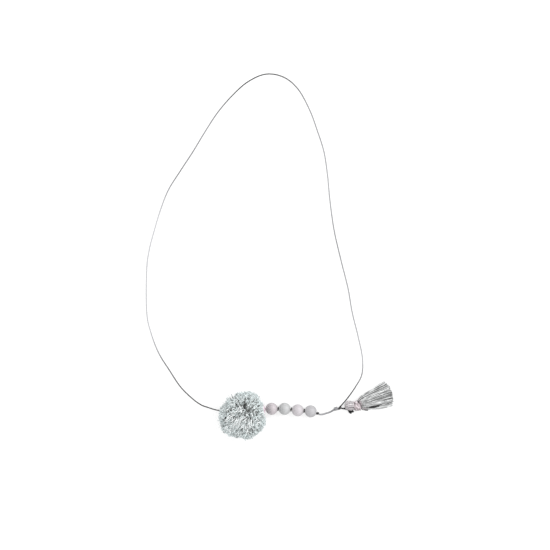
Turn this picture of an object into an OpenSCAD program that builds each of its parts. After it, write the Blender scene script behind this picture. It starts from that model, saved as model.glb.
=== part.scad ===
// Pompom necklace, lying on a table as it was laid out: a thin cord makes an egg-shaped
// neck loop, and its ends run through a yarn pompom and a row of painted wooden beads to
// a knot, where a small tassel hangs. X runs along the bead row to the tassel, Y up the
// loop, Z up from the table, and the origin is on the table under the middle of the row.

/* [Cord] */
// Diameter of the round cord
cord_d = 1.0; // [0.8:0.1:1.2]
// Clearance between the cord and what it runs through
cord_gap = 0.3; // [0.2:0.05:0.4]

/* [Pompom] */
// Diameter over the tips of the yarn
pompom_d = 39.2; // [38:0.1:41]
// How far its weight presses its underside flat
pompom_sag = 1.5; // [1:0.1:2]
// Diameter of the dense middle that the tufts grow from
pompom_core_d = 27; // [24:1:27]
// Number of rows of tufts between the poles of the ball
tuft_rows = 11; // [9:1:12]
// Length of a tuft's rounded tip
tuft_tip = 1.6; // [1:0.1:2]
// How much the tufts differ in length, either way
tuft_uneven = 0.5; // [0:0.1:0.8]

/* [Beads] */
// Diameter of a bead
bead_d = 10; // [9.8:0.1:10.2]
// Diameter of the hole through a bead
bead_bore = 2.4; // [2.2:0.1:2.8]
// Diameter of the small knots that space the beads
spacer_knot_d = 3.0; // [2.6:0.1:3.2]
// Thickness of the small knots
spacer_knot_w = 0.9; // [0.6:0.1:0.9]

/* [Tassel] */
// Diameter of the thread-covered head
head_d = 8.3; // [8:0.1:8.4]
// Length of the bound neck
binding_l = 4.8; // [4.4:0.1:5]
// Diameter over the bound thread at the head
binding_d1 = 7.4; // [7:0.1:7.8]
// Diameter over the bound thread at the skirt
binding_d2 = 8.6; // [8.2:0.1:8.8]
// Number of turns of the binding thread
binding_turns = 6; // [5:1:7]
// Width of a lock at the end of the skirt
lock_w = 1.95; // [1.6:0.05:1.95]

/* [Hidden] */

cord_r = cord_d / 2;
bead_r = bead_d / 2;
head_r = head_d / 2;

// Pompom: its middle sits lower than its radius, because its underside is pressed flat
pompom_r = pompom_d / 2;
core_r = pompom_core_d / 2;
pompom_at = [-53.1, -2.6, pompom_r - pompom_sag];
// Room between neighbouring tufts, measured along a ball of radius 1
tuft_pitch = 3.1416 / tuft_rows;
// Widths of the patch that a tuft stands on, of its root on the patch, and of the tuft
// at the foot of its tip
patch_w = 0.97 * tuft_pitch * core_r;
tuft_root_w = 0.85 * patch_w;
tuft_w = 0.97 * tuft_pitch * (pompom_r - tuft_tip - tuft_uneven);
// How deep a tuft is rooted under its patch, and how much of its width its tip keeps
tuft_root_depth = 1;
tuft_tip_share = 0.55;
// Half the depth of the tufts' patches, and the turn of each row against the last
patch_depth = 0.5;
row_turn = 0.37;

// Bead row: the first bead's place, then for each step to the next bead its heading and
// the room between the two, which a small knot fills from the second step on
first_bead = [-39.1, 1, bead_r];
// columns: heading in degrees, room between the beads
bead_steps = [[3, 0.1], [0, 0.75], [-6.5, 0.9], [-4.5, 0.75]];
function bead_at(i) =
    i == 0 ? first_bead
           : bead_at(i - 1) + (bead_d + bead_steps[i - 1][1])
             * [cos(bead_steps[i - 1][0]), sin(bead_steps[i - 1][0]), 0];
bead_count = len(bead_steps) + 1;
// The thread lies low in the holes
thread_low = [0, 0, -0.3];

// Route of the thread: up into the pompom to its tie, down to the beads, through them,
// then through the end knot and down to the table
pompom_route = [[-67.8, 0.5, 7.1], [-63.5, -0.2, 9.6], [-58.5, -1.2, 12], [-53.5, -1.9, 13.2],
                [-49.7, -1.4, 11.9], [-46.7, -0.3, 8.8], [-44.5, 0.5, 5.7]];
end_knot = [[8.6, -2, 4.65], [10.3, -3.1, 3.95]];
tail_route = [[11.7, -3.4, 2.9], [13.9, -3.3, 1.6], [16.6, -2.6, 0.8], [19.8, -1.5, 0.7],
              [22.5, 0.15, 1.35]];
thread_route = concat(
    pompom_route,
    [for (i = [0 : bead_count - 1]) bead_at(i) + thread_low],
    end_knot,
    tail_route);
first_bead_point = len(pompom_route);
end_knot_point = first_bead_point + bead_count;

// Route of the neck loop on the table, from the pompom round to the loop knot
lie = 0.5;
neck_route = [
    [-68, 0.5, 7], [-74, 0.3, 4.2], [-81, 2, 1.6], [-88, 4.5, 0.6], [-95.5, 10, lie],
    [-105, 19.5, lie], [-114, 33, lie], [-123, 47.5, lie], [-129.5, 64.5, lie],
    [-133, 82, lie], [-133, 115.5, lie], [-131, 132.5, lie], [-126.5, 150, lie],
    [-121.5, 166.5, lie], [-115, 183, lie], [-105, 199, lie], [-94.5, 215, lie],
    [-84.5, 231.5, lie], [-74, 247.5, lie], [-62, 261.5, lie], [-49, 273, lie],
    [-34, 279.5, lie], [-19, 277, lie], [-7, 267, lie], [2.5, 250, lie],
    [9, 232.5, lie], [14.5, 215, lie], [17.5, 195.5, lie], [19.5, 174.5, lie],
    [23, 149.5, lie], [28.5, 125.5, lie], [34.5, 101.5, lie], [38, 81.5, lie], [43, 61, lie],
    [46.5, 43.5, lie], [46, 29.5, lie], [40.5, 19, lie], [34, 9.8, lie],
    [29.8, 4.9, 0.6], [28, 2.9, 0.9]];

// Loop knot: a barrel of three turns and a smaller one of two, which ties in the tassel.
// Each has a place, a number of turns, the radius that they are wound at and their own.
knot_heading = 12;
knot_big_at = [24.3, 0.8, 1.5];
knot_big_turns = 3;
knot_big_wound_r = 0.9;
knot_big_turn_r = 0.58;
knot_small_at = [27.1, 1.4, 1.1];
knot_small_turns = 2;
knot_small_wound_r = 0.6;
knot_small_turn_r = 0.48;
// Distance between turns as a share of their radius
knot_pitch = 1.7;
// Length and radius of the cord that joins the two
knot_link_l = 2.4;
knot_link_r = 0.45;

// Tassel: the head rests on the table, and the bound neck leads on to the fanned skirt
tassel_heading = 11;
tassel_along = [cos(tassel_heading), sin(tassel_heading), 0];
tassel_across = [-sin(tassel_heading), cos(tassel_heading), 0];
head_at = [35.7, 4.3, head_r];
binding_at = [42, 4, binding_d2 / 2];
binding_bore = 6;
neck_d = 5.5;
neck_end_d = 8.2;
// Room between the head, the binding and the skirt, which press on one another
wrap_gap = 0.15;
// Beyond the binding the threads flare to a flattened face that the locks grow from
flare_at = [49, 7.4, 4.1];
flare_heading = 20;
flare_along = [cos(flare_heading), sin(flare_heading), 0];
flare_across = [-sin(flare_heading), cos(flare_heading), 0];
flare_w = 12.8;
flare_h = 7.6;
// How far inside the flare's outline the locks start, how deep they are rooted in it,
// and the thickness of the plates that a lock is stretched between
lock_inset = 0.6;
lock_root_depth = 0.5;
lock_plate = 0.1;
// Route of the tassel's cord into the head, and of its tail under the head to a knot
head_route = [[28.4, 1.8, 1.1], [29.6, 1.4, 0.9], [30.9, 1.4, 1.3], [32, 2, 2.1],
              [33.4, 2.9, 3], [34.5, 3.6, 3.6]];
tail_knots = [[36, -1.3, 1.4], [38.3, -1.4, 1.4]];
tail_route_under = [[29.6, 1.4, 0.8], [31.8, 1, 0.55], [33.6, 0.6, 0.55],
                    [34.9, -0.3, 0.9], tail_knots[0], tail_knots[1]];
tail_d = 0.9;
tail_knot_d = 2.7;
// Each lobe is drawn out along X by this much either way, and thinner at one end
tail_knot_stretch = 0.25;
tail_knot_taper = 0.9;

// Skirt: the ends of its locks across the fan, from the lower edge to the upper
// columns: share across the fan, X, Y
fan_end = [[0, 71.4, 7.7], [0.3, 71.3, 11.9], [0.6, 70.4, 16.2], [0.85, 68.4, 20.1],
           [1, 65.6, 22.4]];
// Layers of locks from the table up
// columns: number of locks, share of the fan they cover, height on the flare's face,
// width of a lock there, height at the end
skirt_layers = [[8, 1, -2.5, 0.75, 1], [8, 0.9, 0, 1.1, 3.05], [6, 0.68, 2.5, 1.05, 5]];
// The lower edge of the skirt is a loose bundle that bows away from the rest
bundle_route = [[46.5, 1.7, 2.8], [53.3, 1.4, 1.5], [61.5, 2.1, 1.1], [71.2, 4.9, 1.1]];
bundle_w = 2;

function unit(v) = v / norm(v);
function heading_of(v) = atan2(v[1], v[0]);
function slope_of(v) = asin(unit(v)[2]);
function pick(list, i) = list[min(max(i, 0), len(list) - 1)];
function tangent(route, i) = unit(pick(route, i + 1) - pick(route, i - 1));

// Point at share t between points i and i + 1 of a smooth curve through a route
function on_curve(route, i, t) =
    let (a = pick(route, i - 1), b = route[i], c = pick(route, i + 1),
         d = pick(route, i + 2))
    (2 * b + (c - a) * t + (2 * a - 5 * b + 4 * c - d) * t * t
     + (3 * b - a - 3 * c + d) * t * t * t) / 2;

// A route with each stretch cut into a number of steps along the smooth curve
function smooth(route, steps) = concat(
    [for (i = [0 : len(route) - 2]) for (j = [0 : steps - 1]) on_curve(route, i, j / steps)],
    [route[len(route) - 1]]);

// Points of a ring of the tube, square to the route
function ring(at, along, r, sides) =
    let (across = unit(cross([0, 0, 1], along)), up = cross(along, across))
    [for (k = [0 : sides - 1])
        at + r * (cos(360 * (k + 0.5) / sides) * across + sin(360 * (k + 0.5) / sides) * up)];

// A round tube swept along the points as one solid, with a radius for each of them
module tube(points, radii, sides) {
    rings = len(points);
    wall = [for (i = [0 : rings - 1])
        each ring(points[i], tangent(points, i), radii[i], sides)];
    sides_a = [for (i = [0 : rings - 2]) for (k = [0 : sides - 1])
        [i * sides + k, (i + 1) * sides + k, i * sides + (k + 1) % sides]];
    sides_b = [for (i = [0 : rings - 2]) for (k = [0 : sides - 1])
        [i * sides + (k + 1) % sides, (i + 1) * sides + k,
         (i + 1) * sides + (k + 1) % sides]];
    start = [[for (k = [0 : sides - 1]) k]];
    finish = [[for (k = [sides - 1 : -1 : 0]) (rings - 1) * sides + k]];
    polyhedron(wall, concat(sides_a, sides_b, start, finish));
}

// A tube of one radius
module cord_tube(points, r) {
    tube(points, [for (p = points) r], 8);
}

// Places a child at a point with its Z axis turned along a direction
module aim(at, along) {
    translate(at) rotate([0, 90 - slope_of(along), heading_of(along)]) children();
}

// Round-ended links through points, as a bent length of cord
module link_chain(points, d) {
    for (i = [0 : len(points) - 2])
        hull() {
            translate(points[i]) sphere(d = d, $fn = 8);
            translate(points[i + 1]) sphere(d = d, $fn = 8);
        }
}

module neck_cord() {
    color([0.70, 0.70, 0.71]) cord_tube(smooth(neck_route, 2), cord_r);
}

// Places of the tufts on the ball, row by row: tilt from straight up, turn about it
function row_count(row) = max(1, round(2 * tuft_rows * sin(180 * row / tuft_rows)));
tuft_angles = [for (row = [0 : tuft_rows]) for (i = [0 : row_count(row) - 1])
    [180 * row / tuft_rows, (i + row_turn * row) * 360 / row_count(row)]];

// How far a tuft may reach before it meets the first bead, which nestles in the yarn
function free_reach(tilt, turn, full) =
    let (d = [sin(tilt) * cos(turn), sin(tilt) * sin(turn), cos(tilt)],
         bead = first_bead - pompom_at, along = d * bead,
         room = bead_r + cord_gap + tuft_w / 2, aside = bead * bead - along * along)
    along > 0 && aside < room * room
        ? min(full, along - sqrt(room * room - aside)) : full;

// A tuft of yarn from the patch that it stands on to its rounded tip
module tuft(reach) {
    widest = tuft_w * (reach - tuft_tip) / (pompom_r - tuft_tip);
    hull() {
        translate([0, 0, core_r - patch_depth - tuft_root_depth])
            cylinder(d = tuft_root_w, h = tuft_root_depth / 2, $fn = 6);
        translate([0, 0, reach - tuft_tip])
            cylinder(d1 = widest, d2 = widest * tuft_tip_share, h = tuft_tip, $fn = 6);
    }
}

// Tufts in rows round a dense middle made of the patches that they stand on, with a way
// for the thread, a hollow where the first bead nestles, and a flat underside
module pompom() {
    uneven = rands(-tuft_uneven, tuft_uneven, len(tuft_angles), 7);
    reach = [for (i = [0 : len(tuft_angles) - 1])
        free_reach(tuft_angles[i][0], tuft_angles[i][1], pompom_r + uneven[i])];
    color([0.72, 0.76, 0.75]) difference() {
        translate(pompom_at) union() {
            hull() for (a = tuft_angles)
                rotate([0, a[0], a[1]]) translate([0, 0, core_r - patch_depth])
                    cylinder(d = patch_w, h = patch_depth / 5, $fn = 6);
            for (i = [0 : len(tuft_angles) - 1])
                if (reach[i] > core_r + tuft_tip)
                    rotate([0, tuft_angles[i][0], tuft_angles[i][1]]) tuft(reach[i]);
        }
        cord_tube(smooth(concat([neck_route[1]], pompom_route, [thread_route[first_bead_point]]),
                         2), cord_r + cord_gap);
        translate([pompom_at[0], pompom_at[1], -pompom_r])
            cube([2 * pompom_d, 2 * pompom_d, 2 * pompom_r], center = true);
    }
}

// A wooden bead with its hole along the thread
module bead(i, paint) {
    color(paint) aim(bead_at(i), tangent(thread_route, first_bead_point + i))
        difference() {
            sphere(d = bead_d, $fn = 64);
            cylinder(d = bead_bore, h = 2 * bead_d, center = true, $fn = 32);
        }
}

module bead_1() bead(0, [0.88, 0.81, 0.84]);
module bead_2() bead(1, [0.79, 0.75, 0.77]);
module bead_3() bead(2, [0.80, 0.81, 0.81]);
module bead_4() bead(3, [0.83, 0.80, 0.82]);
module bead_5() bead(4, [0.75, 0.75, 0.76]);

// The end knot is a little thinner, and takes up this much of its stretch of the route
end_knot_d = 0.85 * spacer_knot_d;
end_knot_share = 0.8;
// Outline of a knot of the thread from one side of it to the other
// columns: share of half its thickness, share of its diameter
knot_outline = [[-1, 0.42], [-0.66, 0.86], [-0.1, 1], [0.3, 0.96], [0.7, 0.8], [1, 0.42]];

// Rings of a knot in the middle of a straight stretch, as points with a radius behind them
function knot_rings(from, to, d, w) =
    let (along = unit(to - from), middle = (from + to) / 2)
    [for (row = knot_outline) concat(middle + row[0] * w / 2 * along, [row[1] * d / 2])];

// Rings of the thread along stretch i of its route. Knots are in the wider spaces
// between the beads and in the end knot's own stretch.
function thread_rings(i) =
    let (from = thread_route[i], to = thread_route[i + 1])
    i > first_bead_point && i < end_knot_point - 1
        ? concat([concat(from, [cord_r])], knot_rings(from, to, spacer_knot_d, spacer_knot_w))
    : i == end_knot_point
        ? concat([concat(from, [cord_r])],
                 knot_rings(from, to, end_knot_d, end_knot_share * norm(to - from)))
    : [for (j = [0 : 2]) concat(on_curve(thread_route, i, j / 3), [cord_r])];

// The thread with its knots as one swept solid
module bead_cord() {
    rings = concat([for (i = [0 : len(thread_route) - 2]) each thread_rings(i)],
                   [concat(thread_route[len(thread_route) - 1], [cord_r])]);
    color([0.45, 0.45, 0.47])
        tube([for (r = rings) [r[0], r[1], r[2]]], [for (r = rings) r[3]], 8);
}

// Turns of cord side by side, round a solid middle
module barrel_knot(turns, wound_r, turn_r) {
    pitch = turn_r * knot_pitch;
    rotate_extrude($fn = 48) {
        for (i = [0 : turns - 1])
            translate([wound_r, (i - (turns - 1) / 2) * pitch]) circle(turn_r, $fn = 24);
        translate([0, -turns * pitch / 2]) square([wound_r, turns * pitch]);
    }
}

module loop_knot() {
    along = [cos(knot_heading), sin(knot_heading), 0];
    color([0.72, 0.72, 0.73]) union() {
        aim(knot_big_at, along)
            barrel_knot(knot_big_turns, knot_big_wound_r, knot_big_turn_r);
        aim(knot_small_at, along)
            barrel_knot(knot_small_turns, knot_small_wound_r, knot_small_turn_r);
        aim(knot_small_at, along) translate([0, 0, -knot_link_l])
            cylinder(r = knot_link_r, h = knot_link_l, $fn = 24);
    }
}

// The dark cord that carries the tassel, and its tail with a knot of two lobes
module tassel_cord() {
    color([0.25, 0.25, 0.27]) union() {
        link_chain(head_route, cord_d);
        link_chain(tail_route_under, tail_d);
        for (at = tail_knots)
            hull() {
                translate(at - [tail_knot_stretch, 0, 0])
                    sphere(d = tail_knot_d * tail_knot_taper, $fn = 10);
                translate(at + [tail_knot_stretch, 0, 0]) sphere(d = tail_knot_d, $fn = 10);
            }
    }
}

// The covered head, drawn in to the bound neck, with a hole for the tassel's cord
module tassel_head() {
    color([0.73, 0.71, 0.72]) difference() {
        aim(head_at, head_route[3] - head_at) difference() {
            sphere(d = head_d, $fn = 64);
            cylinder(d = cord_d + 2 * cord_gap, h = head_d, $fn = 24);
        }
        aim(binding_at, -tassel_along) translate([0, 0, -binding_l / 2])
            cylinder(d = 3 * head_d, h = binding_l + wrap_gap, $fn = 48);
    }
}

// Turns of thread wound round the neck
module tassel_binding() {
    turn = binding_l / binding_turns;
    turn_r = [for (i = [0 : binding_turns - 1])
        (binding_d1 + (binding_d2 - binding_d1) * i / (binding_turns - 1)) / 2];
    color([0.82, 0.76, 0.78]) aim(binding_at, tassel_along) rotate_extrude($fn = 64)
        for (i = [0 : binding_turns - 1])
            translate([0, (i - (binding_turns - 1) / 2) * turn]) {
                translate([turn_r[i] - turn / 2, 0]) circle(d = turn, $fn = 24);
                translate([binding_bore / 2, -turn / 2])
                    square([turn_r[i] - turn / 2 - binding_bore / 2, turn]);
            }
}

// Where a lock starts: a share across the flare's face, and a height on it
function on_flare(across, height) =
    let (half = flare_w / 2 * sqrt(1 - pow(2 * height / flare_h, 2)) - lock_inset)
    flare_at + (2 * across - 1) * half * flare_across + [0, 0, height];

// A lock of threads that widens from the flare to its place across the fan
module lock(across, fan_share, root_height, root_w, end_height) {
    from = on_flare(across, root_height) - lock_root_depth * flare_along;
    place = 0.5 + fan_share * (across - 0.5);
    to = [lookup(place, [for (row = fan_end) [row[0], row[1]]]),
          lookup(place, [for (row = fan_end) [row[0], row[2]]]), end_height];
    hull() {
        aim(from, to - from) cylinder(d = root_w, h = lock_plate, $fn = 8);
        aim(to, to - from) translate([0, 0, -lock_plate])
            cylinder(d = lock_w, h = lock_plate, $fn = 8);
    }
}

// Locks of glossy thread that fan out on the table, fused to the neck in the binding
module tassel_skirt() {
    color([0.70, 0.71, 0.71]) union() {
        aim(binding_at, tassel_along) translate([0, 0, wrap_gap - binding_l / 2])
            cylinder(d = neck_d, h = binding_l + 2 * wrap_gap, $fn = 24);
        hull() {
            aim(binding_at, tassel_along) translate([0, 0, binding_l / 2 + wrap_gap])
                cylinder(d = neck_end_d, h = 2 * wrap_gap, $fn = 24);
            aim(flare_at, flare_along) translate([0, 0, -1]) scale([flare_h, flare_w, 1])
                cylinder(d = 1, h = 1, $fn = 24);
        }
        for (layer = skirt_layers) for (i = [0 : layer[0] - 1])
            lock(i / (layer[0] - 1), layer[1], layer[2], layer[3], layer[4]);
        link_chain(bundle_route, bundle_w);
    }
}

neck_cord();
pompom();
bead_1();
bead_2();
bead_3();
bead_4();
bead_5();
bead_cord();
loop_knot();
tassel_cord();
tassel_head();
tassel_binding();
tassel_skirt();
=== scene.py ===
"""Dresses the pompom necklace: cord, yarn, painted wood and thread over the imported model.

Sizes and places are written in millimetres, as in the CAD source, and every mesh is
made in metres in the same frame. X runs along the row of beads to the tassel, Y up the
neck loop, and Z up from the table.
"""

import logging
import math
from dataclasses import dataclass, field
from enum import Enum
from typing import Sequence

import bmesh
import bpy
import numpy as np
from mathutils import Matrix, Vector


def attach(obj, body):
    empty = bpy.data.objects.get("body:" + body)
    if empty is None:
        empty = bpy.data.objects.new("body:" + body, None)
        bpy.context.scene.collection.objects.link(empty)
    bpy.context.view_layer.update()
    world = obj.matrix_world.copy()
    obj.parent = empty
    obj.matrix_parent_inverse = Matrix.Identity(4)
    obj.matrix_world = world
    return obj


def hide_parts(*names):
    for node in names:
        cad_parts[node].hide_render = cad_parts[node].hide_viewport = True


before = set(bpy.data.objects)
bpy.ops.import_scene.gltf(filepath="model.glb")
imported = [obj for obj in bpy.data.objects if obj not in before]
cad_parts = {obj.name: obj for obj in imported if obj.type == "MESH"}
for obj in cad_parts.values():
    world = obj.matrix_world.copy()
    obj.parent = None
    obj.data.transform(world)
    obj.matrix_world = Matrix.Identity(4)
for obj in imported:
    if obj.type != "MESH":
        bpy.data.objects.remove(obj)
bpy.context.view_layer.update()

MM = 0.001
TURN = 2 * math.pi
UP = np.array([0.0, 0.0, 1.0])

log = logging.getLogger("necklace")

Colour = tuple[float, float, float]
Point = tuple[float, float, float]
Route = tuple[Point, ...]
Table = tuple[tuple[float, ...], ...]


# Curves and directions


def unit(v: np.ndarray) -> np.ndarray:
    """Vectors of length 1 along the given ones."""
    return v / np.maximum(np.linalg.norm(v, axis=-1, keepdims=True), 1e-12)


def headed(degrees: float) -> tuple[np.ndarray, np.ndarray]:
    """Directions along and across a heading on the table.

    Args:
        degrees: The heading, from +X towards +Y.

    Returns:
        The direction along it and the one to its left.
    """
    a = math.radians(degrees)
    return np.array([math.cos(a), math.sin(a), 0.0]), np.array([-math.sin(a), math.cos(a), 0.0])


def smooth_route(route: Sequence[Point] | np.ndarray, steps: int) -> np.ndarray:
    """Smooth curve through the points of a route, as the CAD source draws it.

    Args:
        route: The points that it passes through.
        steps: Number of points for each stretch of the route.

    Returns:
        The points of the curve, one row each.
    """
    p = np.asarray(route, float)
    q = np.vstack([p[:1], p, p[-1:]])
    t = np.linspace(0.0, 1.0, steps, endpoint=False)[:, None]
    parts = []
    for a, b, c, d in zip(q, q[1:], q[2:], q[3:]):
        parts.append(
            (2 * b + (c - a) * t + (2 * a - 5 * b + 4 * c - d) * t**2 + (3 * b - a - 3 * c + d) * t**3) / 2
        )
    return np.vstack([*parts, p[-1:]])


def evened(path: np.ndarray, step: float) -> np.ndarray:
    """The same path with its points a like distance apart.

    Args:
        path: Points of the path.
        step: Distance between the new points, roughly.

    Returns:
        The new points.
    """
    run = np.concatenate([[0.0], np.cumsum(np.linalg.norm(np.diff(path, axis=0), axis=1))])
    at = np.linspace(0.0, run[-1], max(3, round(run[-1] / step) + 1))
    return np.column_stack([np.interp(at, run, path[:, k]) for k in range(3)])


def laid(route: Sequence[Point] | np.ndarray, steps: int, step: float) -> np.ndarray:
    """A route made smooth, then evened."""
    return evened(smooth_route(route, steps), step)


def length_of(path: np.ndarray) -> float:
    """Length of a path."""
    return float(np.linalg.norm(np.diff(path, axis=0), axis=1).sum())


def ball_directions(count: int, rng: np.random.Generator, jitter: float) -> np.ndarray:
    """Directions spread evenly over a ball, each moved a little.

    Args:
        count: Number of directions.
        rng: Source of the random moves.
        jitter: Size of the moves.

    Returns:
        One unit vector a row.
    """
    i = np.arange(count) + 0.5
    z = 1 - 2 * i / count
    turn = i * math.pi * (1 + math.sqrt(5))
    r = np.sqrt(1 - z * z)
    d = np.column_stack([r * np.cos(turn), r * np.sin(turn), z])
    return unit(d + rng.normal(0.0, jitter, (count, 3)))


# Tubes of thread, yarn and cord


class Section(Enum):
    """Cross-section of a tube, as its number of corners, plies and flatness."""

    THREAD = (5, 0, 0.85)
    HAIR = (3, 0, 1.0)
    CORD = (12, 3, 1.0)
    FINE_CORD = (9, 3, 1.0)

    def corners(self) -> np.ndarray:
        """Find the corners of the section.

        Returns:
            The corners at radius 1, one row each.
        """
        sides, plies, flat = self.value
        a = (np.arange(sides) + 0.5) * TURN / sides
        r = np.ones(sides)
        if plies:
            r = 0.84 + 0.15 * np.abs(np.cos(plies / 2 * a))
        return np.column_stack([r * np.cos(a), flat * r * np.sin(a)])


@dataclass
class Tubes:
    """Tubes gathered into one mesh, with a tint for each and their run from end to end."""

    verts: list[np.ndarray] = field(default_factory=list)
    faces: list[list[int]] = field(default_factory=list)
    tints: list[np.ndarray] = field(default_factory=list)
    runs: list[np.ndarray] = field(default_factory=list)
    lays: list[np.ndarray] = field(default_factory=list)
    count: int = 0

    def add(
        self,
        lines: np.ndarray,
        radii: np.ndarray | float,
        section: Section,
        tints: np.ndarray | float = 0.5,
        twist: float = 0.0,
        closed: bool = False,
        runs: np.ndarray | float | None = None,
    ) -> None:
        """Sweep a section along each of some lines with the same number of points.

        Args:
            lines: Points, as lines by points by three.
            radii: Radius at each point of each line, or one for all.
            section: The cross-section.
            tints: Tint of each line from 0 to 1, or of each of its points, or one for all.
            twist: Turn of the section for each millimetre, in radians.
            closed: Whether each line ends where it starts, without repeating the point.
            runs: Share of the way along at each point, where it isn't even.
        """
        lines = np.asarray(lines, float)
        if lines.ndim == 2:
            lines = lines[None]
        n, k, _ = lines.shape
        if closed:
            ahead = np.roll(lines, -1, axis=1) - np.roll(lines, 1, axis=1)
        else:
            ahead = np.gradient(lines, axis=1)
        ahead = unit(ahead)
        side = np.empty_like(lines)
        seed = np.where(np.abs(ahead[:, :1, 2:]) > 0.9, [[[1.0, 0.0, 0.0]]], [[[0.0, 0.0, 1.0]]])
        side[:, 0] = unit(np.cross(seed, ahead[:, :1]))[:, 0]
        for i in range(1, k):
            before = side[:, i - 1]
            side[:, i] = unit(before - ahead[:, i] * (before * ahead[:, i]).sum(1, keepdims=True))
        up = np.cross(ahead, side)
        corners = section.corners()
        run = np.zeros((n, k))
        run[:, 1:] = np.cumsum(np.linalg.norm(np.diff(lines, axis=1), axis=2), axis=1)
        angle = twist * run
        if closed and twist:
            angle *= round(angle[0, -1] / TURN) * TURN / angle[0, -1] * (k - 1) / k
        cos, sin = np.cos(angle)[..., None], np.sin(angle)[..., None]
        x = corners[:, 0] * cos - corners[:, 1] * sin
        y = corners[:, 0] * sin + corners[:, 1] * cos
        r = np.broadcast_to(np.asarray(radii, float), (n, k))[..., None, None]
        points = lines[:, :, None] + r * (x[..., None] * side[:, :, None] + y[..., None] * up[:, :, None])
        s = len(corners)
        at = self.count + np.arange(n * k * s).reshape(n, k, s)
        last = np.roll(at, -1, axis=1) if closed else at[:, 1:]
        first = at if closed else at[:, :-1]
        quads = np.stack([first, np.roll(first, -1, axis=2), np.roll(last, -1, axis=2), last], axis=-1)
        self.faces += quads.reshape(-1, 4).tolist()
        if not closed:
            self.faces += at[:, 0, ::-1].tolist() + at[:, -1].tolist()
        self.verts.append(points.reshape(-1, 3))
        tints = np.asarray(tints, float)
        tints = tints[:, None] if tints.ndim == 1 else tints
        self.tints.append(np.repeat(np.broadcast_to(tints, (n, k)).reshape(-1), s))
        share = np.linspace(0, 1, k) if runs is None else runs
        self.runs.append(np.repeat(np.broadcast_to(share, (n, k)).reshape(-1), s))
        # the streaks of each tube start at a place of their own
        along = run + 17.0 * (self.count + np.arange(n))[:, None] % 97.0
        along = np.broadcast_to(along[..., None, None], (n, k, s, 1))
        around = np.broadcast_to(unit(corners), (n, k, s, 2))
        self.lays.append(np.concatenate([around, along], axis=-1).reshape(-1, 3))
        self.count += n * k * s

    def piece(self, name: str) -> bpy.types.Object:
        """Make the mesh and its object.

        Args:
            name: Name of the piece.

        Returns:
            The object, at the origin, with its place in its mesh.
        """
        mesh = bpy.data.meshes.new(name)
        mesh.from_pydata((np.vstack(self.verts) * MM).tolist(), [], self.faces)
        mesh.polygons.foreach_set("use_smooth", np.ones(len(mesh.polygons), bool))
        for label, values in (("tint", self.tints), ("run", self.runs)):
            layer = mesh.attributes.new(label, "FLOAT", "POINT")
            layer.data.foreach_set("value", np.concatenate(values).astype(np.float32))
        layer = mesh.attributes.new("lay", "FLOAT_VECTOR", "POINT")
        layer.data.foreach_set("vector", np.vstack(self.lays).astype(np.float32).reshape(-1))
        mesh.update()
        piece = bpy.data.objects.new(name, mesh)
        bpy.context.scene.collection.objects.link(piece)
        return piece


def ring_line(
    centre: np.ndarray, axis: np.ndarray, radius: float, lean: Point, points: int = 20
) -> np.ndarray:
    """Closed ring round an axis, leaning a little along it.

    Args:
        centre: Middle of the ring.
        axis: Direction that it goes round.
        radius: Its radius.
        lean: How far it leans along the axis, its turn in radians, and its rise.
        points: Number of points.

    Returns:
        The points, without the first one again.
    """
    axis = unit(np.asarray(axis, float))
    side = unit(np.cross(UP, axis))
    up = np.cross(axis, side)
    a = np.arange(points) * TURN / points
    along, turn, rise = lean
    return (
        centre
        + radius * (np.cos(a)[:, None] * side + np.sin(a)[:, None] * up)
        + (along * np.cos(a - turn) + rise * np.sin(2 * (a - turn)))[:, None] * axis
    )


def coil_line(
    centre: np.ndarray, axis: np.ndarray, radius: float, pitch: float, turns: float
) -> np.ndarray:
    """Line wound round an axis, with its ends tucked in.

    Args:
        centre: Middle of the coil.
        axis: Direction that it is wound round.
        radius: Radius of the turns.
        pitch: Distance from turn to turn.
        turns: Number of turns.

    Returns:
        The points of the line.
    """
    axis = unit(np.asarray(axis, float))
    side = unit(np.cross(UP, axis))
    up = np.cross(axis, side)
    a = np.linspace(-0.5, 0.5, max(12, round(turns * 20))) * turns * TURN
    tuck = np.clip((math.pi * turns - np.abs(a)) / 0.9, 0.0, 1.0) ** 0.5
    r = radius * (0.35 + 0.65 * tuck)
    return (
        centre
        + (r * np.cos(a))[:, None] * side
        + (r * np.sin(a))[:, None] * up
        + (a / TURN * pitch)[:, None] * axis
    )


def overhand_line(centre: Point, size: float, turn: float) -> np.ndarray:
    """Closed line of an overhand knot pulled tight.

    Args:
        centre: Middle of the knot.
        size: Its radius at the middle of the cord.
        turn: How far it is turned, in radians.

    Returns:
        The points, without the first one again.
    """
    points, flatness = 54, 0.62
    a = np.arange(points) * TURN / points
    x = (np.sin(a) + 2 * np.sin(2 * a)) * size / 3
    y = (np.cos(a) - 2 * np.cos(2 * a)) * size / 3
    z = -np.sin(3 * a) * size * flatness
    cos, sin = math.cos(turn), math.sin(turn)
    return np.asarray(centre, float) + np.column_stack([x * cos - y * sin, x * sin + y * cos, z])


# Shader recipes


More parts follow.
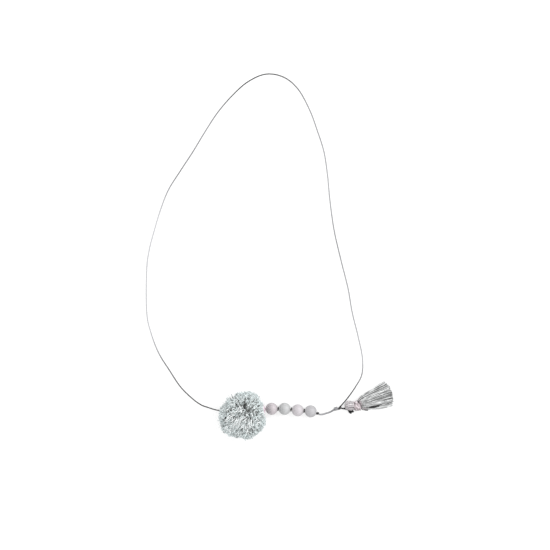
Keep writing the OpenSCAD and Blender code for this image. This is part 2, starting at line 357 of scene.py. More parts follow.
class Wire:
    """An output of a recipe's node. Python's operators on it add Math nodes."""

    def __init__(self, recipe: "Recipe", socket: bpy.types.NodeSocket) -> None:
        """Keep the recipe and the socket."""
        self.recipe = recipe
        self.socket = socket

    def _maths(self, operation: str, first: "Wire | float", second: "Wire | float") -> "Wire":
        """One Math node with two inputs."""
        return self.recipe.node("Math", {"operation": operation}, {0: first, 1: second})

    def __add__(self, other: "Wire | float") -> "Wire":
        """Sum."""
        return self._maths("ADD", self, other)

    def __radd__(self, other: float) -> "Wire":
        """Sum, from the right."""
        return self._maths("ADD", other, self)

    def __sub__(self, other: "Wire | float") -> "Wire":
        """Difference."""
        return self._maths("SUBTRACT", self, other)

    def __rsub__(self, other: float) -> "Wire":
        """Difference, from the right."""
        return self._maths("SUBTRACT", other, self)

    def __mul__(self, other: "Wire | float") -> "Wire":
        """Product."""
        return self._maths("MULTIPLY", self, other)

    def __rmul__(self, other: float) -> "Wire":
        """Product, from the right."""
        return self._maths("MULTIPLY", other, self)

    def __truediv__(self, other: "Wire | float") -> "Wire":
        """Quotient."""
        return self._maths("DIVIDE", self, other)

    def __abs__(self) -> "Wire":
        """Size without sign."""
        return self._maths("ABSOLUTE", self, 0.0)


Feed = Wire | float | Sequence[float]


class Recipe:
    """The node tree of one material in the making."""

    def __init__(self, name: str) -> None:
        """Start a material with one Principled shader, whose sockets are set by `finish`.

        Args:
            name: Name of the material.
        """
        self.material = bpy.data.materials.new(name)
        self.material.use_nodes = True
        self.tree = self.material.node_tree
        self.shader = self.tree.nodes["Principled BSDF"]

    def feed(self, node: bpy.types.Node, sockets: dict[int | str, Feed]) -> None:
        """Set or link the inputs of a node.

        Args:
            node: The node.
            sockets: Values or links of its inputs. A colour of three numbers gets its fourth.
        """
        for key, value in sockets.items():
            given = node.inputs[key]
            if isinstance(value, Wire):
                self.tree.links.new(value.socket, given)
            elif given.type == "RGBA" and not isinstance(value, (int, float)) and len(value) == 3:
                given.default_value = (*value, 1.0)
            else:
                given.default_value = value

    def node(
        self,
        kind: str,
        settings: dict[str, object] | None = None,
        sockets: dict[int | str, Feed] | None = None,
        output: int | str = 0,
    ) -> Wire:
        """Add a node.

        Args:
            kind: Its type, without the leading ShaderNode.
            settings: Its properties, and the stops of a ramp as position and colour.
            sockets: Values or links of its inputs.
            output: The output that is wanted.

        Returns:
            That output.
        """
        made = self.tree.nodes.new("ShaderNode" + kind)
        for key, value in (settings or {}).items():
            if key == "stops":
                steps = made.color_ramp.elements
                steps[0].position, steps[-1].position = value[0][0], value[-1][0]
                for position, _ in value[1:-1]:
                    steps.new(position)
                for step, (_, colour) in zip(steps, value):
                    step.color = (*colour, 1.0)
            else:
                setattr(made, key, value)
        self.feed(made, sockets or {})
        return Wire(self, made.outputs[output])

    def attribute(self, name: str) -> Wire:
        """A number that the mesh carries."""
        return self.node("Attribute", {"attribute_name": name}, output="Fac")

    def filaments(self, fineness: float, length: float) -> Wire:
        """Noise drawn out along a strand.

        Args:
            fineness: How many filaments show round it, roughly.
            length: Length of a filament's streak, in millimetres.

        Returns:
            The noise.
        """
        lay = self.node("Attribute", {"attribute_name": "lay"}, output="Vector")
        lay = self.node("Mapping", None, {"Vector": lay, "Scale": (fineness, fineness, 1.0 / length)})
        return self.node("TexNoise", None, {"Vector": lay, "Scale": 1.0, "Detail": 2.0}, "Fac")

    def ramp(self, value: Wire, stops: Sequence[tuple[float, Colour]]) -> Wire:
        """A colour chosen by a value."""
        return self.node("ValToRGB", {"stops": stops}, {0: value})

    def curve(self, value: Wire, stops: Sequence[tuple[float, float]]) -> Wire:
        """A number chosen by a value."""
        return self.node("ValToRGB", {"stops": [(p, (v, v, v)) for p, v in stops]}, {0: value})

    def mix(self, factor: Feed, first: Feed, second: Feed, blend: str = "MIX") -> Wire:
        """Two colours mixed."""
        settings = {"data_type": "RGBA", "blend_type": blend}
        return self.node("Mix", settings, {0: factor, 6: first, 7: second}, 2)

    def noise(self, scale: float, detail: float) -> Wire:
        """Noise on Object coordinates."""
        where = self.node("TexCoord", output="Object")
        return self.node("TexNoise", None, {"Vector": where, "Scale": scale, "Detail": detail}, "Fac")

    def bump(self, height: Wire, distance: float, strength: float) -> Wire:
        """Normals tilted by a height."""
        sockets = {"Height": height, "Distance": distance, "Strength": strength}
        return self.node("Bump", None, sockets, "Normal")

    def finish(self, **sockets: Feed) -> bpy.types.Material:
        """Feed the shader and give the material.

        Args:
            sockets: Inputs of the shader, with _ for the spaces in their names.

        Returns:
            The material.
        """
        self.feed(self.shader, {key.replace("_", " "): value for key, value in sockets.items()})
        return self.material


@dataclass(frozen=True)
class StrandFinish:
    """Yarn or thread: its tint runs from dark strands to pale ones, its colour from root to tip."""

    name: str
    stops: tuple[tuple[float, Colour], ...]
    pale: Colour
    pale_share: float = 0.25
    dark: float = 0.4
    gloss: float = 0.3
    sheen: float = 0.2
    shine: float = 0.8

    def material(self) -> bpy.types.Material:
        """Mix the finish.

        Returns:
            The material.
        """
        r = Recipe(self.name)
        tint = r.attribute("tint")
        full = 1.0 - self.pale_share
        body = r.ramp(r.attribute("run"), self.stops)
        body = r.mix(r.curve(tint, [(0.0, 0.0), (full - 0.04, 0.0), (full + 0.12, 1.0)]), body, self.pale)
        middle = (0.45 * full, 0.5 + self.dark / 2)
        spread = r.curve(tint, [(0.0, 0.12), (0.03, 0.22), (0.05, self.dark), middle, (full, 1.0)])
        body = r.mix(1.0, body, spread, "MULTIPLY")
        fibre = r.filaments(2.6, 0.9)
        body = r.mix(1.0, body, r.curve(fibre, [(0.36, 0.84), (0.56, 1.0)]), "MULTIPLY")
        rough = r.curve(fibre, [(0.3, self.gloss + 0.15), (0.7, self.gloss)])
        return r.finish(
            Base_Color=body,
            Roughness=rough,
            Normal=r.bump(fibre, 0.00012, 0.6),
            Specular_IOR_Level=self.shine,
            Sheen_Weight=self.sheen,
            Sheen_Roughness=0.4,
        )


@dataclass(frozen=True)
class ShadedPackFinish:
    """Tightly packed yarn or thread, deep below the strands that are seen one by one, coloured far darker
    than them as painted shade.
    """

    name: str
    colour: Colour

    def material(self) -> bpy.types.Material:
        """Mix the finish.

        Returns:
            The material.
        """
        r = Recipe(self.name)
        grain = r.noise(1800.0, 3.0)
        body = r.mix(1.0, self.colour, r.curve(grain, [(0.35, 0.4), (0.6, 1.0)]), "MULTIPLY")
        return r.finish(Base_Color=body, Roughness=0.85, Normal=r.bump(grain, 0.0002, 0.6))


@dataclass(frozen=True)
class CordFinish:
    """Spun cord, whose grey changes along its run."""

    name: str
    stops: tuple[tuple[float, float], ...]
    gloss: float = 0.55

    def material(self) -> bpy.types.Material:
        """Mix the finish.

        Returns:
            The material.
        """
        r = Recipe(self.name)
        body = r.ramp(r.attribute("run"), [(at, (grey, grey, 1.04 * grey)) for at, grey in self.stops])
        fibre = r.filaments(2.2, 0.8)
        body = r.mix(r.curve(fibre, [(0.35, 0.35), (0.6, 0.0)]), body, (0.02, 0.02, 0.022))
        rough = r.curve(fibre, [(0.3, self.gloss + 0.15), (0.7, self.gloss)])
        return r.finish(
            Base_Color=body, Roughness=rough, Normal=r.bump(fibre, 0.00008, 0.5), Specular_IOR_Level=0.35
        )


@dataclass(frozen=True)
class PaintedWood:
    """Matte paint on turned wood, with the grain showing through and worn rims."""

    name: str
    paint: Colour

    def material(self, centre: np.ndarray, bore: np.ndarray, radius: float) -> bpy.types.Material:
        """Mix the finish for one bead.

        Args:
            centre: Middle of the bead, in millimetres.
            bore: Direction of its hole.
            radius: Its radius, in millimetres.

        Returns:
            The material.
        """
        r = Recipe(self.name)
        turn = Vector(bore).to_track_quat("Z", "Y").to_matrix().inverted().to_euler()
        here = Vector(centre) * MM
        here.rotate(turn)
        where = r.node("TexCoord", output="Object")
        where = r.node("Mapping", None, {"Vector": where, "Rotation": turn, "Location": -here})
        stretched = r.node("Mapping", None, {"Vector": where, "Scale": (1.0, 0.45, 0.12)})
        grain = r.node("TexNoise", None, {"Vector": stretched, "Scale": 2600.0, "Detail": 5.0}, "Fac")
        cloud = r.node("TexNoise", None, {"Vector": where, "Scale": 260.0, "Detail": 2.0}, "Fac")
        shade = tuple(0.8 * c for c in self.paint)
        light = tuple(min(1.0, 1.16 * c + 0.02) for c in self.paint)
        body = r.mix(r.curve(grain, [(0.3, 0.9), (0.58, 0.0)]), self.paint, shade)
        body = r.mix(r.curve(cloud, [(0.45, 0.0), (0.75, 0.75)]), body, light)
        end = abs(r.node("SeparateXYZ", None, {0: where}, "Z")) / (radius * MM)
        speck = r.node("TexNoise", None, {"Vector": where, "Scale": 1500.0, "Detail": 3.0}, "Fac")
        worn = r.curve(end + (speck - 0.5) * 0.06, [(0.945, 0.0), (0.965, 0.8)])
        body = r.mix(worn, body, (0.42, 0.31, 0.21))
        height = grain * 0.7 + speck * 0.3
        rough = r.curve(speck, [(0.3, 0.66), (0.7, 0.5)])
        return r.finish(Base_Color=body, Roughness=rough, Normal=r.bump(height, 0.00008, 0.35))


@dataclass(frozen=True)
class FloorFinish:
    """Plain pale floor, lit a little from below as a light table is, so that shadows stay faint."""

    name: str
    colour: Colour
    glow: float

    def material(self) -> bpy.types.Material:
        """Mix the finish.

        Returns:
            The material.
        """
        return Recipe(self.name).finish(
            Base_Color=self.colour,
            Roughness=0.9,
            Emission_Color=(1.0, 1.0, 1.0),
            Emission_Strength=self.glow,
        )


# Modelling by operators


def deselect() -> None:
    """Leave nothing selected."""
    if bpy.context.object and bpy.context.object.mode != "OBJECT":
        bpy.ops.object.mode_set(mode="OBJECT")
    bpy.ops.object.select_all(action="DESELECT")


def roughen(offset: float, uniform: float, normal: float, seed: int) -> None:
    """Move the points of the active object a little.

    Args:
        offset: How far they move.
        uniform: How alike the distances are, from 0 to 1.
        normal: How straight outwards they move, from 0 to 1.
        seed: Seed of the random draws.
    """
    bpy.ops.object.mode_set(mode="EDIT")
    bpy.ops.mesh.select_all(action="SELECT")
    bpy.ops.transform.vertex_random(offset=offset * MM, uniform=uniform, normal=normal, seed=seed)
    bpy.ops.object.mode_set(mode="OBJECT")


def settle(
    piece: bpy.types.Object,
    name: str,
    centre: Point | np.ndarray,
    axis: np.ndarray | None,
    smooth_angle: float,
) -> bpy.types.Object:
    """Move a finished piece to its place, put the place into its mesh, smooth it and name it.

    Args:
        piece: The piece, upright at the origin.
        name: Its name.
        centre: Where its middle goes.
        axis: Where its Z axis then points, or None where it stays upright.
        smooth_angle: The angle, in degrees, from which its edges stay sharp.

    Returns:
        The piece.
    """
    place = Matrix.Translation(Vector(centre) * MM)
    if axis is not None:
        place = place @ Vector(axis).to_track_quat("Z", "Y").to_matrix().to_4x4()
    piece.matrix_world = place
    deselect()
    piece.select_set(True)
    bpy.context.view_layer.objects.active = piece
    bpy.ops.object.transform_apply(location=True, rotation=True, scale=True)
    bpy.ops.object.shade_smooth_by_angle(angle=math.radians(smooth_angle))
    piece.name = piece.data.name = name
    return piece


def carry(piece: bpy.types.Object, material: bpy.types.Material, slot: str, *nodes: str) -> None:
    """Dress a piece and tie it to the model.

    Args:
        piece: The finished piece.
        material: Its material.
        slot: A material slot's name; not used.
        nodes: CAD nodes that it stands for.
    """
    piece.data.materials.clear()
    piece.data.materials.append(material)
    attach(piece, "root")
    if nodes:
        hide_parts(*nodes)
    log.info("%s: %d faces", piece.name, len(piece.data.polygons))


# The necklace


@dataclass
class NeckCord:
    """The bare cord of the neck loop, from the pompom round to the loop knot."""

    diameter: float = 1.0
    lie: float = 0.5
    pitch: float = 2.8
    step: float = 0.5
    greys: Table = (
        (0.00, 0.015), (0.05, 0.03), (0.10, 0.12), (0.145, 0.44), (0.29, 0.48), (0.355, 0.17),
        (0.43, 0.24), (0.50, 0.015), (0.54, 0.03), (0.60, 0.24), (0.70, 0.33), (0.78, 0.22),
        (0.93, 0.38), (0.955, 0.20), (0.98, 0.025), (1.00, 0.012),
    )  # fmt: skip

    def route(self) -> list[Point]:
        """List the points of the route, the same as in the CAD source.

        Returns:
            The points.
        """
        lie = self.lie
        return [
            (-68, 0.5, 7), (-74, 0.3, 4.2), (-81, 2, 1.6), (-88, 4.5, 0.6), (-95.5, 10, lie),
            (-105, 19.5, lie), (-114, 33, lie), (-123, 47.5, lie), (-129.5, 64.5, lie),
            (-133, 82, lie), (-133, 115.5, lie), (-131, 132.5, lie), (-126.5, 150, lie),
            (-121.5, 166.5, lie), (-115, 183, lie), (-105, 199, lie), (-94.5, 215, lie),
            (-84.5, 231.5, lie), (-74, 247.5, lie), (-62, 261.5, lie), (-49, 273, lie),
            (-34, 279.5, lie), (-19, 277, lie), (-7, 267, lie), (2.5, 250, lie),
            (9, 232.5, lie), (14.5, 215, lie), (17.5, 195.5, lie), (19.5, 174.5, lie),
            (23, 149.5, lie), (28.5, 125.5, lie), (34.5, 101.5, lie), (38, 81.5, lie), (43, 61, lie),
            (46.5, 43.5, lie), (46, 29.5, lie), (40.5, 19, lie), (34, 9.8, lie),
            (29.8, 4.9, 0.6), (28, 2.9, 0.9),
        ]  # fmt: skip

    def build(self) -> list[bpy.types.Object]:
        """Returns:
            Its one piece.
        """
        path = laid(self.route(), 24, self.step)
        tubes = Tubes()
        tubes.add(path, self.diameter / 2, Section.CORD, twist=TURN / self.pitch)
        piece = tubes.piece("neck_cord_spun")
        carry(piece, CordFinish("spun_grey_cord", self.greys).material(), "grey_cord", "neck_cord")
        log.info("neck cord is %.1f mm long", length_of(path))
        return [piece]


@dataclass
class BeadRow:
    """Five painted wooden beads on a thread with knots between them."""

    diameter: float = 10.0
    bore: float = 2.4
    rim: float = 0.25
    rim_round: float = 0.12
    first: Point = (-39.1, 1.0, 5.0)
    # columns: heading to the next bead, and the room between the two
    steps: Table = ((3, 0.1), (0, 0.75), (-6.5, 0.9), (-4.5, 0.75))
    paints: tuple[tuple[str, Colour, str], ...] = (
        ("pale_pink_paint", (0.66, 0.53, 0.59), "pale_pink_wood"),
        ("mauve_paint", (0.41, 0.375, 0.393), "mauve_wood"),
        ("light_grey_paint", (0.38, 0.384, 0.388), "light_grey_wood"),
        ("blush_paint", (0.425, 0.402, 0.42), "pale_pink_wood"),
        ("mid_grey_paint", (0.345, 0.34, 0.352), "mid_grey_wood"),
    )
    thread: float = 1.0
    thread_low: float = 0.3
    thread_pitch: float = 2.8
    # the thread thickens past the last bead, between two places along X
    thicker: float = 1.6
    thickens: tuple[float, float] = (9.0, 12.0)
    table_gap: float = 0.06
    # where the greys start along X, and the length that they spread over
    grey_start: float = -68.0
    grey_length: float = 92.0
    greys: Table = ((0.00, 0.03), (0.80, 0.03), (0.835, 0.06), (0.86, 0.31), (0.92, 0.28), (1.00, 0.18))
    pompom_route: Route = (
        (-67.8, 0.5, 7.1), (-63.5, -0.2, 9.6), (-58.5, -1.2, 12), (-53.5, -1.9, 13.2),
        (-49.7, -1.4, 11.9), (-46.7, -0.3, 8.8), (-44.5, 0.5, 5.7),
    )  # fmt: skip
    end_route: Route = ((8.2, -1.8, 4.7), (9.9, -2.9, 4.1))
    tail_route: Route = (
        (11.7, -3.4, 2.9), (13.9, -3.3, 1.6), (16.6, -2.6, 0.8), (19.8, -1.5, 0.7), (22.5, 0.15, 1.35),
    )  # fmt: skip
    knot_pitch: float = 2.2
    knot_radius: float = 1.4
    knot_cord: float = 0.43
    knot_leans: Route = ((0.1, 0.6, 0.06), (-0.1, 2.4, 0.05))
    end_cord: float = 0.44
    # columns: radius of the turn, its lean, and where on the greys it lies
    end_turns: tuple[tuple[float, Point, float], ...] = (
        (0.98, (0.42, 0.4, 0.1), 0.5), (0.95, (-0.40, 1.9, -0.1), 0.5), (0.75, (0.6, 3.6, 0.3), 0.87),
    )  # fmt: skip

    def centres(self) -> list[np.ndarray]:
        """Find the middles of the beads.

        Returns:
            One point for each.
        """
        made = [np.array(self.first)]
        for heading, room in self.steps:
            made.append(made[-1] + (self.diameter + room) * headed(heading)[0])
        return made

    def thread_points(self) -> np.ndarray:
        """Route of the thread from the pompom to the loop knot."""
        beads = [c - self.thread_low * UP for c in self.centres()]
        return np.vstack([self.pompom_route, beads, self.end_route, self.tail_route])

    def bore_of(self, i: int) -> np.ndarray:
        """Find the direction of a bead's hole.

        Args:
            i: The bead's place in the row, from 0.

        Returns:
            The direction, of length 1.
        """
        route = self.thread_points()
        k = len(self.pompom_route) + i
        return unit(route[k + 1] - route[k - 1])

    def bead(self, i: int, centre: np.ndarray) -> bpy.types.Object:
        """Turn one bead: a ball, cut flat at both ends, drilled, with rounded rims.

        Args:
            i: Its place in the row, from 0.
            centre: Its middle.

        Returns:
            The finished bead.
        """
        r, bore = self.diameter / 2, self.bore / 2
        deselect()
        bpy.ops.mesh.primitive_uv_sphere_add(segments=48, ring_count=32, radius=r * MM)
        ball = bpy.context.object
        end = math.sqrt(r * r - (bore + self.rim) ** 2) * MM
        bpy.ops.object.mode_set(mode="EDIT")
        for side in (1, -1):
            bpy.ops.mesh.select_all(action="SELECT")
            bpy.ops.mesh.bisect(
                plane_co=(0, 0, side * end), plane_no=(0, 0, side), clear_outer=True, use_fill=True
            )
            bpy.ops.mesh.inset(thickness=self.rim * MM)
            bpy.ops.mesh.delete(type="FACE")
        self.select_rims(ball, end)
        bpy.ops.mesh.bridge_edge_loops()
        self.select_rims(ball, end)
        bpy.ops.mesh.bevel(offset=self.rim_round * MM, segments=2, affect="EDGES")
        bpy.ops.mesh.select_all(action="SELECT")
        bpy.ops.mesh.normals_make_consistent(inside=False)
        bpy.ops.object.mode_set(mode="OBJECT")
        return settle(ball, f"bead_{i + 1}_turned", centre, self.bore_of(i), 50.0)

    @staticmethod
    def select_rims(ball: bpy.types.Object, end: float) -> None:
        """Select the edges of a bead's two rims, in edit mode.

        Args:
            ball: The bead, still upright.
            end: Height of its flat ends.
        """
        level, apart = 1e-6, 2e-5
        bpy.ops.mesh.select_all(action="DESELECT")
        bpy.ops.mesh.select_mode(type="EDGE")
        made = bmesh.from_edit_mesh(ball.data)
        flat = {v for v in made.verts if abs(abs(v.co.z) - end) < level}
        bore = min(v.co.xy.length for v in flat)
        rim = {v for v in flat if v.co.xy.length < bore + apart}
        for edge in made.edges:
            edge.select = rim.issuperset(edge.verts)
        bmesh.update_edit_mesh(ball.data)

    def knots(self, tubes: Tubes) -> None:
        """Tie the knots that space the beads, and the one that ends the row.

        Args:
            tubes: Where they go.
        """
        centres = self.centres()
        twist = TURN / self.knot_pitch
        for a, b in list(zip(centres, centres[1:]))[1:]:
            middle = (a + b) / 2 - self.thread_low * UP
            for lean in self.knot_leans:
                line = ring_line(middle, b - a, self.knot_radius, lean)
                tubes.add(line, self.knot_cord, Section.FINE_CORD, 0.1, twist, closed=True)
        start, stop = np.array(self.end_route)
        for radius, lean, grey in self.end_turns:
            line = ring_line((start + stop) / 2, stop - start, radius, lean)
            tubes.add(line, self.end_cord, Section.FINE_CORD, 0.3, twist, closed=True, runs=grey)

    def build(self) -> list[bpy.types.Object]:
        """Make the beads and their thread.

        Returns:
            The pieces.
        """
        made = []
        for i, (centre, (name, paint, slot)) in enumerate(zip(self.centres(), self.paints)):
            ball = self.bead(i, centre)
            finish = PaintedWood(name, paint)
            carry(ball, finish.material(centre, self.bore_of(i), self.diameter / 2), slot, f"bead_{i + 1}")
            made.append(ball)
        tubes = Tubes()
        path = laid(self.thread_points(), 16, 0.5)
        far = np.clip((path[:, 0] - self.grey_start) / self.grey_length, 0.0, 1.0)
        width = np.interp(path[:, 0], self.thickens, [self.thread, self.thicker * self.thread]) / 2
        path[:, 2] = np.maximum(path[:, 2], width + self.table_gap)
        tubes.add(path, width, Section.CORD, 0.5, TURN / self.thread_pitch, runs=far)
        self.knots(tubes)
        thread = tubes.piece("bead_thread")
        carry(thread, CordFinish("bead_thread_grey", self.greys).material(), "grey_cord", "bead_cord")
        return [*made, thread]


@dataclass
class Pompom:
    """Ball of glossy yarn, tied on the thread beside the first bead."""

    centre: Point = (-53.1, -2.6, 18.1)
    radius: float = 19.5
    core: float = 9.0
    core_uneven: float = 0.35
    root: float = 7.5
    strands: int = 1150
    plies: int = 4
    ply_radius: tuple[float, float] = (0.20, 0.27)
    ply_apart: float = 0.245
    ply_opening: float = 0.3
    ply_turn: float = 4.5
    layers: tuple[str, str] = ("pompom_yarn", "pompom_yarn_between")
    clumps: int = 400
    clump_jitter: float = 0.10
    clump_pull: float = 0.13
    clump_lift: float = 0.2
    # how much the clumps lean along the comb on top, and any way all over
    clump_lean: tuple[float, float] = (0.2, 0.09)
    strand_jitter: float = 0.03
    strand_lean: float = 0.08
    curl: float = 0.35
    # how uneven the cut is, how far the longest of an even cut stand out, and which share of
    # the strands is longer than that by how much at most
    cut_uneven: float = 0.5
    cut_proud: float = 0.25
    longer_share: float = 0.05
    longest: float = 1.4
    hairs: int = 260
    hair_radius: float = 0.14
    hair_longest: float = 2.0
    stray_radius: float = 0.3
    # share of its full thickness that a strand has at each of its points, root to cut end
    taper: tuple[float, ...] = (0.8, 1.0, 1.0, 1.0, 1.0, 0.95, 0.55)
    rest: float = 0.6
    rest_soft: float = 1.2
    bead_room: float = 0.4
    # where the yarn stops along X beside the first bead, and how its face curves along Y
    wall: float = -36.2
    wall_curve: float = 0.055
    wall_soft: float = 0.3
    seed: int = 11
    comb_heading: float = 56.0
    # columns: angle round the ball seen from above, radius of its outline there
    outline: Table = (
        (0, 19.5), (15, 19.2), (30, 19.7), (38, 19.4), (47, 20.9), (58, 21.0), (70, 20.6), (78, 20.0),
        (85, 19.3), (97, 18.8), (105, 18.3), (113, 17.7), (121, 18.2), (130, 18.0), (143, 17.3),
        (151, 17.8), (158, 19.4), (166, 19.0), (174, 18.9), (182, 19.2), (195, 19.4), (204, 19.7),
        (212, 20.8), (225, 20.3), (235, 19.9), (245, 19.3), (256, 18.6), (264, 18.0), (271, 18.7),
        (279, 20.1), (292, 20.2), (302, 19.8), (315, 19.9), (325, 20.7), (335, 20.9), (345, 20.0),
        (360, 19.5),
    )  # fmt: skip
    # columns: the two ends seen from above, lean of the yarn before and past the line along
    # the comb, how far each reaches
    partings: Table = (
        (0.0, 14.5, 6.5, 4.5, 0.34, 0.14, 7.0, 3.0), (-9.5, 2.5, 1.5, -4.5, 0.12, 0.06, 3.0, 2.5),
    )  # fmt: skip
    # how far a parting's line wavers, how much a strand gives way at least and at most
    parting_waver: float = 0.6
    parting_give: tuple[float, float] = (0.45, 1.25)
    # columns: middle of the patch, half its length along the comb, half its width, lean
    patches: Table = ((2.5, -3.5, 12.0, 8.0, -0.45), (-5.5, 2.0, 6.0, 4.5, -0.3))
    # columns: place seen from above, half length, half width, heading, depth
    hollows: Table = (
        (3.3, 10.4, 2.3, 1.2, 125, 8.0), (4.2, 5.0, 1.0, 0.3, 145, 3.5), (7.4, 3.4, 1.0, 0.3, 140, 3.5),
        (1.3, -1.0, 1.2, 0.3, 40, 3.5), (-7.8, 0.5, 1.2, 0.25, 130, 3.0),
    )  # fmt: skip
    # columns: angle seen from above, half width, depth
    notches: Table = ((122, 6, 4.0),)
    # share of the strands that stand out of the notches
    notch_strands: float = 0.04
    # columns: a point on the strand and its tip, seen from above, and its tint
    strays: Table = (
        (3.0, 17.0, 4.5, 22.4, 0.5), (4.6, 17.0, 5.9, 20.8, 0.7), (-0.8, 15.5, -1.2, 20.4, 0.45),
        (-6.4, 12.0, -8.9, 17.6, 0.03), (-9.3, 12.0, -11.2, 16.9, 0.3), (-7.6, 12.5, -9.3, 18.2, 0.25),
        (-3.0, 15.5, -3.6, 19.6, 0.6), (8.0, 15.5, 9.4, 20.0, 0.5),
    )  # fmt: skip
    # tints of the strands: their middle value, then places seen from above, as shares of the
    # radius, with how even the tints are there, how far they spread and how far they shift.
    # The dark and pale strands are painted shade and painted highlight between the strands,
    # and the shift, lighter near the middle of the top and darker at the rim, is painted light
    tint: float = 0.525
    tint_even: Table = ((0.3, 0.7, 1.0), (0.45, 0.95, 3.4))
    tint_spread: Table = ((0.3, 0.6), (0.45, 0.36))
    painted_light_shift: Table = ((0.4, 0.7, 1.0), (0.10, -0.03, -0.07))
    tint_range: tuple[float, float] = (0.045, 0.99)
    # how much darker the strands in the hollows are, as painted shade, and the depths where that starts and
    # ends
    hollow_painted_shade: float = 0.65
    hollow_depths: tuple[float, float] = (1.2, 5.0)

    def lean(self, at: np.ndarray, rng: np.random.Generator) -> np.ndarray:
        """How the yarn leans sideways at the surface, clump by clump.

        Args:
            at: Directions of the clumps from the middle.
            rng: Source of the random part.

        Returns:
            A vector across each direction.
        """
        comb, _ = headed(self.comb_heading)
        top = np.clip((at[:, 2:] - 0.15) / 0.6, 0.0, 1.0)
        combed, any_way = self.clump_lean
        return comb * rng.normal(0.0, combed, (len(at), 1)) * top + rng.normal(0.0, any_way, at.shape)

    def parted(self, at: np.ndarray, rng: np.random.Generator) -> np.ndarray:
        """How the yarn falls to both sides of the partings on top, and leans in the patches.

        Args:
            at: Directions of the strands from the middle.
            rng: Source of how much each strand gives way.

        Returns:
            A vector for each direction.
        """
        along, across = headed(self.comb_heading)
        seen = at[:, :2] * self.radius
        push = np.zeros(len(at))
        for x0, y0, x1, y1, before, past, near, far in self.partings:
            line = np.array([x1 - x0, y1 - y0])
            way = unit(line)
            run = (seen - [x0, y0]) @ way / np.linalg.norm(line)
            off = (seen - [x0, y0]) @ [-way[1], way[0]] - self.parting_waver * np.sin(run * 11.0)
            share = np.clip(5.0 * run * (1 - run), 0.0, 1.0)
            push += share * np.where(off > 0, past * np.exp(-off / far), -before * np.exp(off / near))
        for x, y, half, wide, lean in self.patches:
            off = seen - [x, y]
            push += lean * np.exp(-((off @ along[:2] / half) ** 2) - (off @ across[:2] / wide) ** 2)
        give = rng.uniform(*self.parting_give, len(at))
        return (push * give * (at[:, 2] > 0.2))[:, None] * along

    def reach(self, at: np.ndarray, rng: np.random.Generator) -> np.ndarray:
        """Distance of the yarn's ends from the middle, by the outline and its notches.

        Args:
            at: Directions of the ends.
            rng: Source of the strands that stand out of the notches.

        Returns:
            One distance for each direction.
        """
        angle = np.degrees(np.arctan2(at[:, 1], at[:, 0])) % 360
        table = np.array(self.outline)
        level = np.sqrt(np.clip(1 - at[:, 2] ** 2, 0.0, 1.0))
        far = self.radius + (np.interp(angle, table[:, 0], table[:, 1]) - self.radius) * level**2
        for middle, half, depth in self.notches:
            off = (angle - middle + 180) % 360 - 180
            inside = np.clip(1 - (off / half) ** 2, 0.0, 1.0) * (level > 0.75)
            far -= depth * inside * (rng.random(len(at)) > self.notch_strands)
        return far

    def sunk(self, at: np.ndarray) -> np.ndarray:
        """How deep the hollows on top are.

        Args:
            at: Directions from the middle.

        Returns:
            One depth for each direction.
        """
        deep = np.zeros(len(at))
        for x, y, half, wide, heading, depth in self.hollows:
            along, across = headed(heading)
            off = at[:, :2] * self.radius - [x, y]
            inside = np.clip(1.4 - (off @ along[:2] / half) ** 2 - (off @ across[:2] / wide) ** 2, 0.0, 1.0)
            deep = np.maximum(deep, depth * inside)
        return deep * (at[:, 2] > 0)

    def clear(self, lines: np.ndarray) -> np.ndarray:
        """Keep strands off the table and off the nearest beads.

        Args:
            lines: Points of the strands.

        Returns:
            The points, moved where they had to be.
        """
        row = BeadRow()
        first = row.centres()[0]
        wall = self.wall + self.wall_curve * (lines[..., 1] - first[1] - 0.3) ** 2
        past = np.clip(lines[..., 0] - wall, 0.0, None)
        lines[..., 0] = np.where(past > 0, wall + self.wall_soft * (1 - np.exp(-past)), lines[..., 0])
        for centre in row.centres()[:2]:
            away = lines - centre
            far = np.linalg.norm(away, axis=-1, keepdims=True)
            room = row.diameter / 2 + self.bead_room
            lines = np.where(far < room, centre + away / np.maximum(far, 0.1) * room, lines)
        low = np.clip(self.rest + self.rest_soft - lines[..., 2], 0.0, None)
        pressed = self.rest + self.rest_soft * np.exp(-low / self.rest_soft)
        lines[..., 2] = np.where(low > 0, pressed, lines[..., 2])
        return lines

    def strand_lines(self, count: int, extra: np.ndarray, seed: int) -> tuple[np.ndarray, np.ndarray]:
        """Lines of the strands from deep inside to their cut ends.

        Args:
            count: Number of strands.
            extra: How much longer each strand is than the outline asks for.
            seed: Seed of the random draws.

        Returns:
            The lines, and how much shorter each is for the hollows that it passes.
        """
        rng = np.random.default_rng(seed)
        heads = ball_directions(self.clumps, rng, self.clump_jitter)
        leans = self.lean(heads, rng)
        lift = rng.normal(0.0, self.clump_lift, self.clumps)
        out = ball_directions(count, rng, self.strand_jitter)
        clump = np.argmax(out @ heads.T, axis=1)
        gather = self.clump_pull * (heads[clump] - out)
        aside = gather + leans[clump] + self.parted(out, rng)
        aside = aside + rng.normal(0.0, self.strand_lean, out.shape)
        tip = unit(out + aside - out * (aside * out).sum(1, keepdims=True))
        points = len(self.taper)
        t = np.linspace(0.0, 1.0, points)[None, :, None]
        bend = t**2.4
        way = unit(out[:, None] * (1 - bend) + tip[:, None] * bend)
        deep = np.max([self.sunk(way[:, k]) for k in range(points // 2, points)], axis=0)
        far = (self.reach(tip, rng) + lift[clump] + extra - deep)[:, None, None]
        lines = way * (self.root + (far - self.root) * t)
        bow = unit(rng.normal(0.0, 1.0, (count, 1, 3)))
        phase = rng.random((count, 1, 1)) * TURN
        lines = lines + bow * np.sin(phase + 5.0 * t) * self.curl * t
        return self.clear(lines + np.array(self.centre)), deep

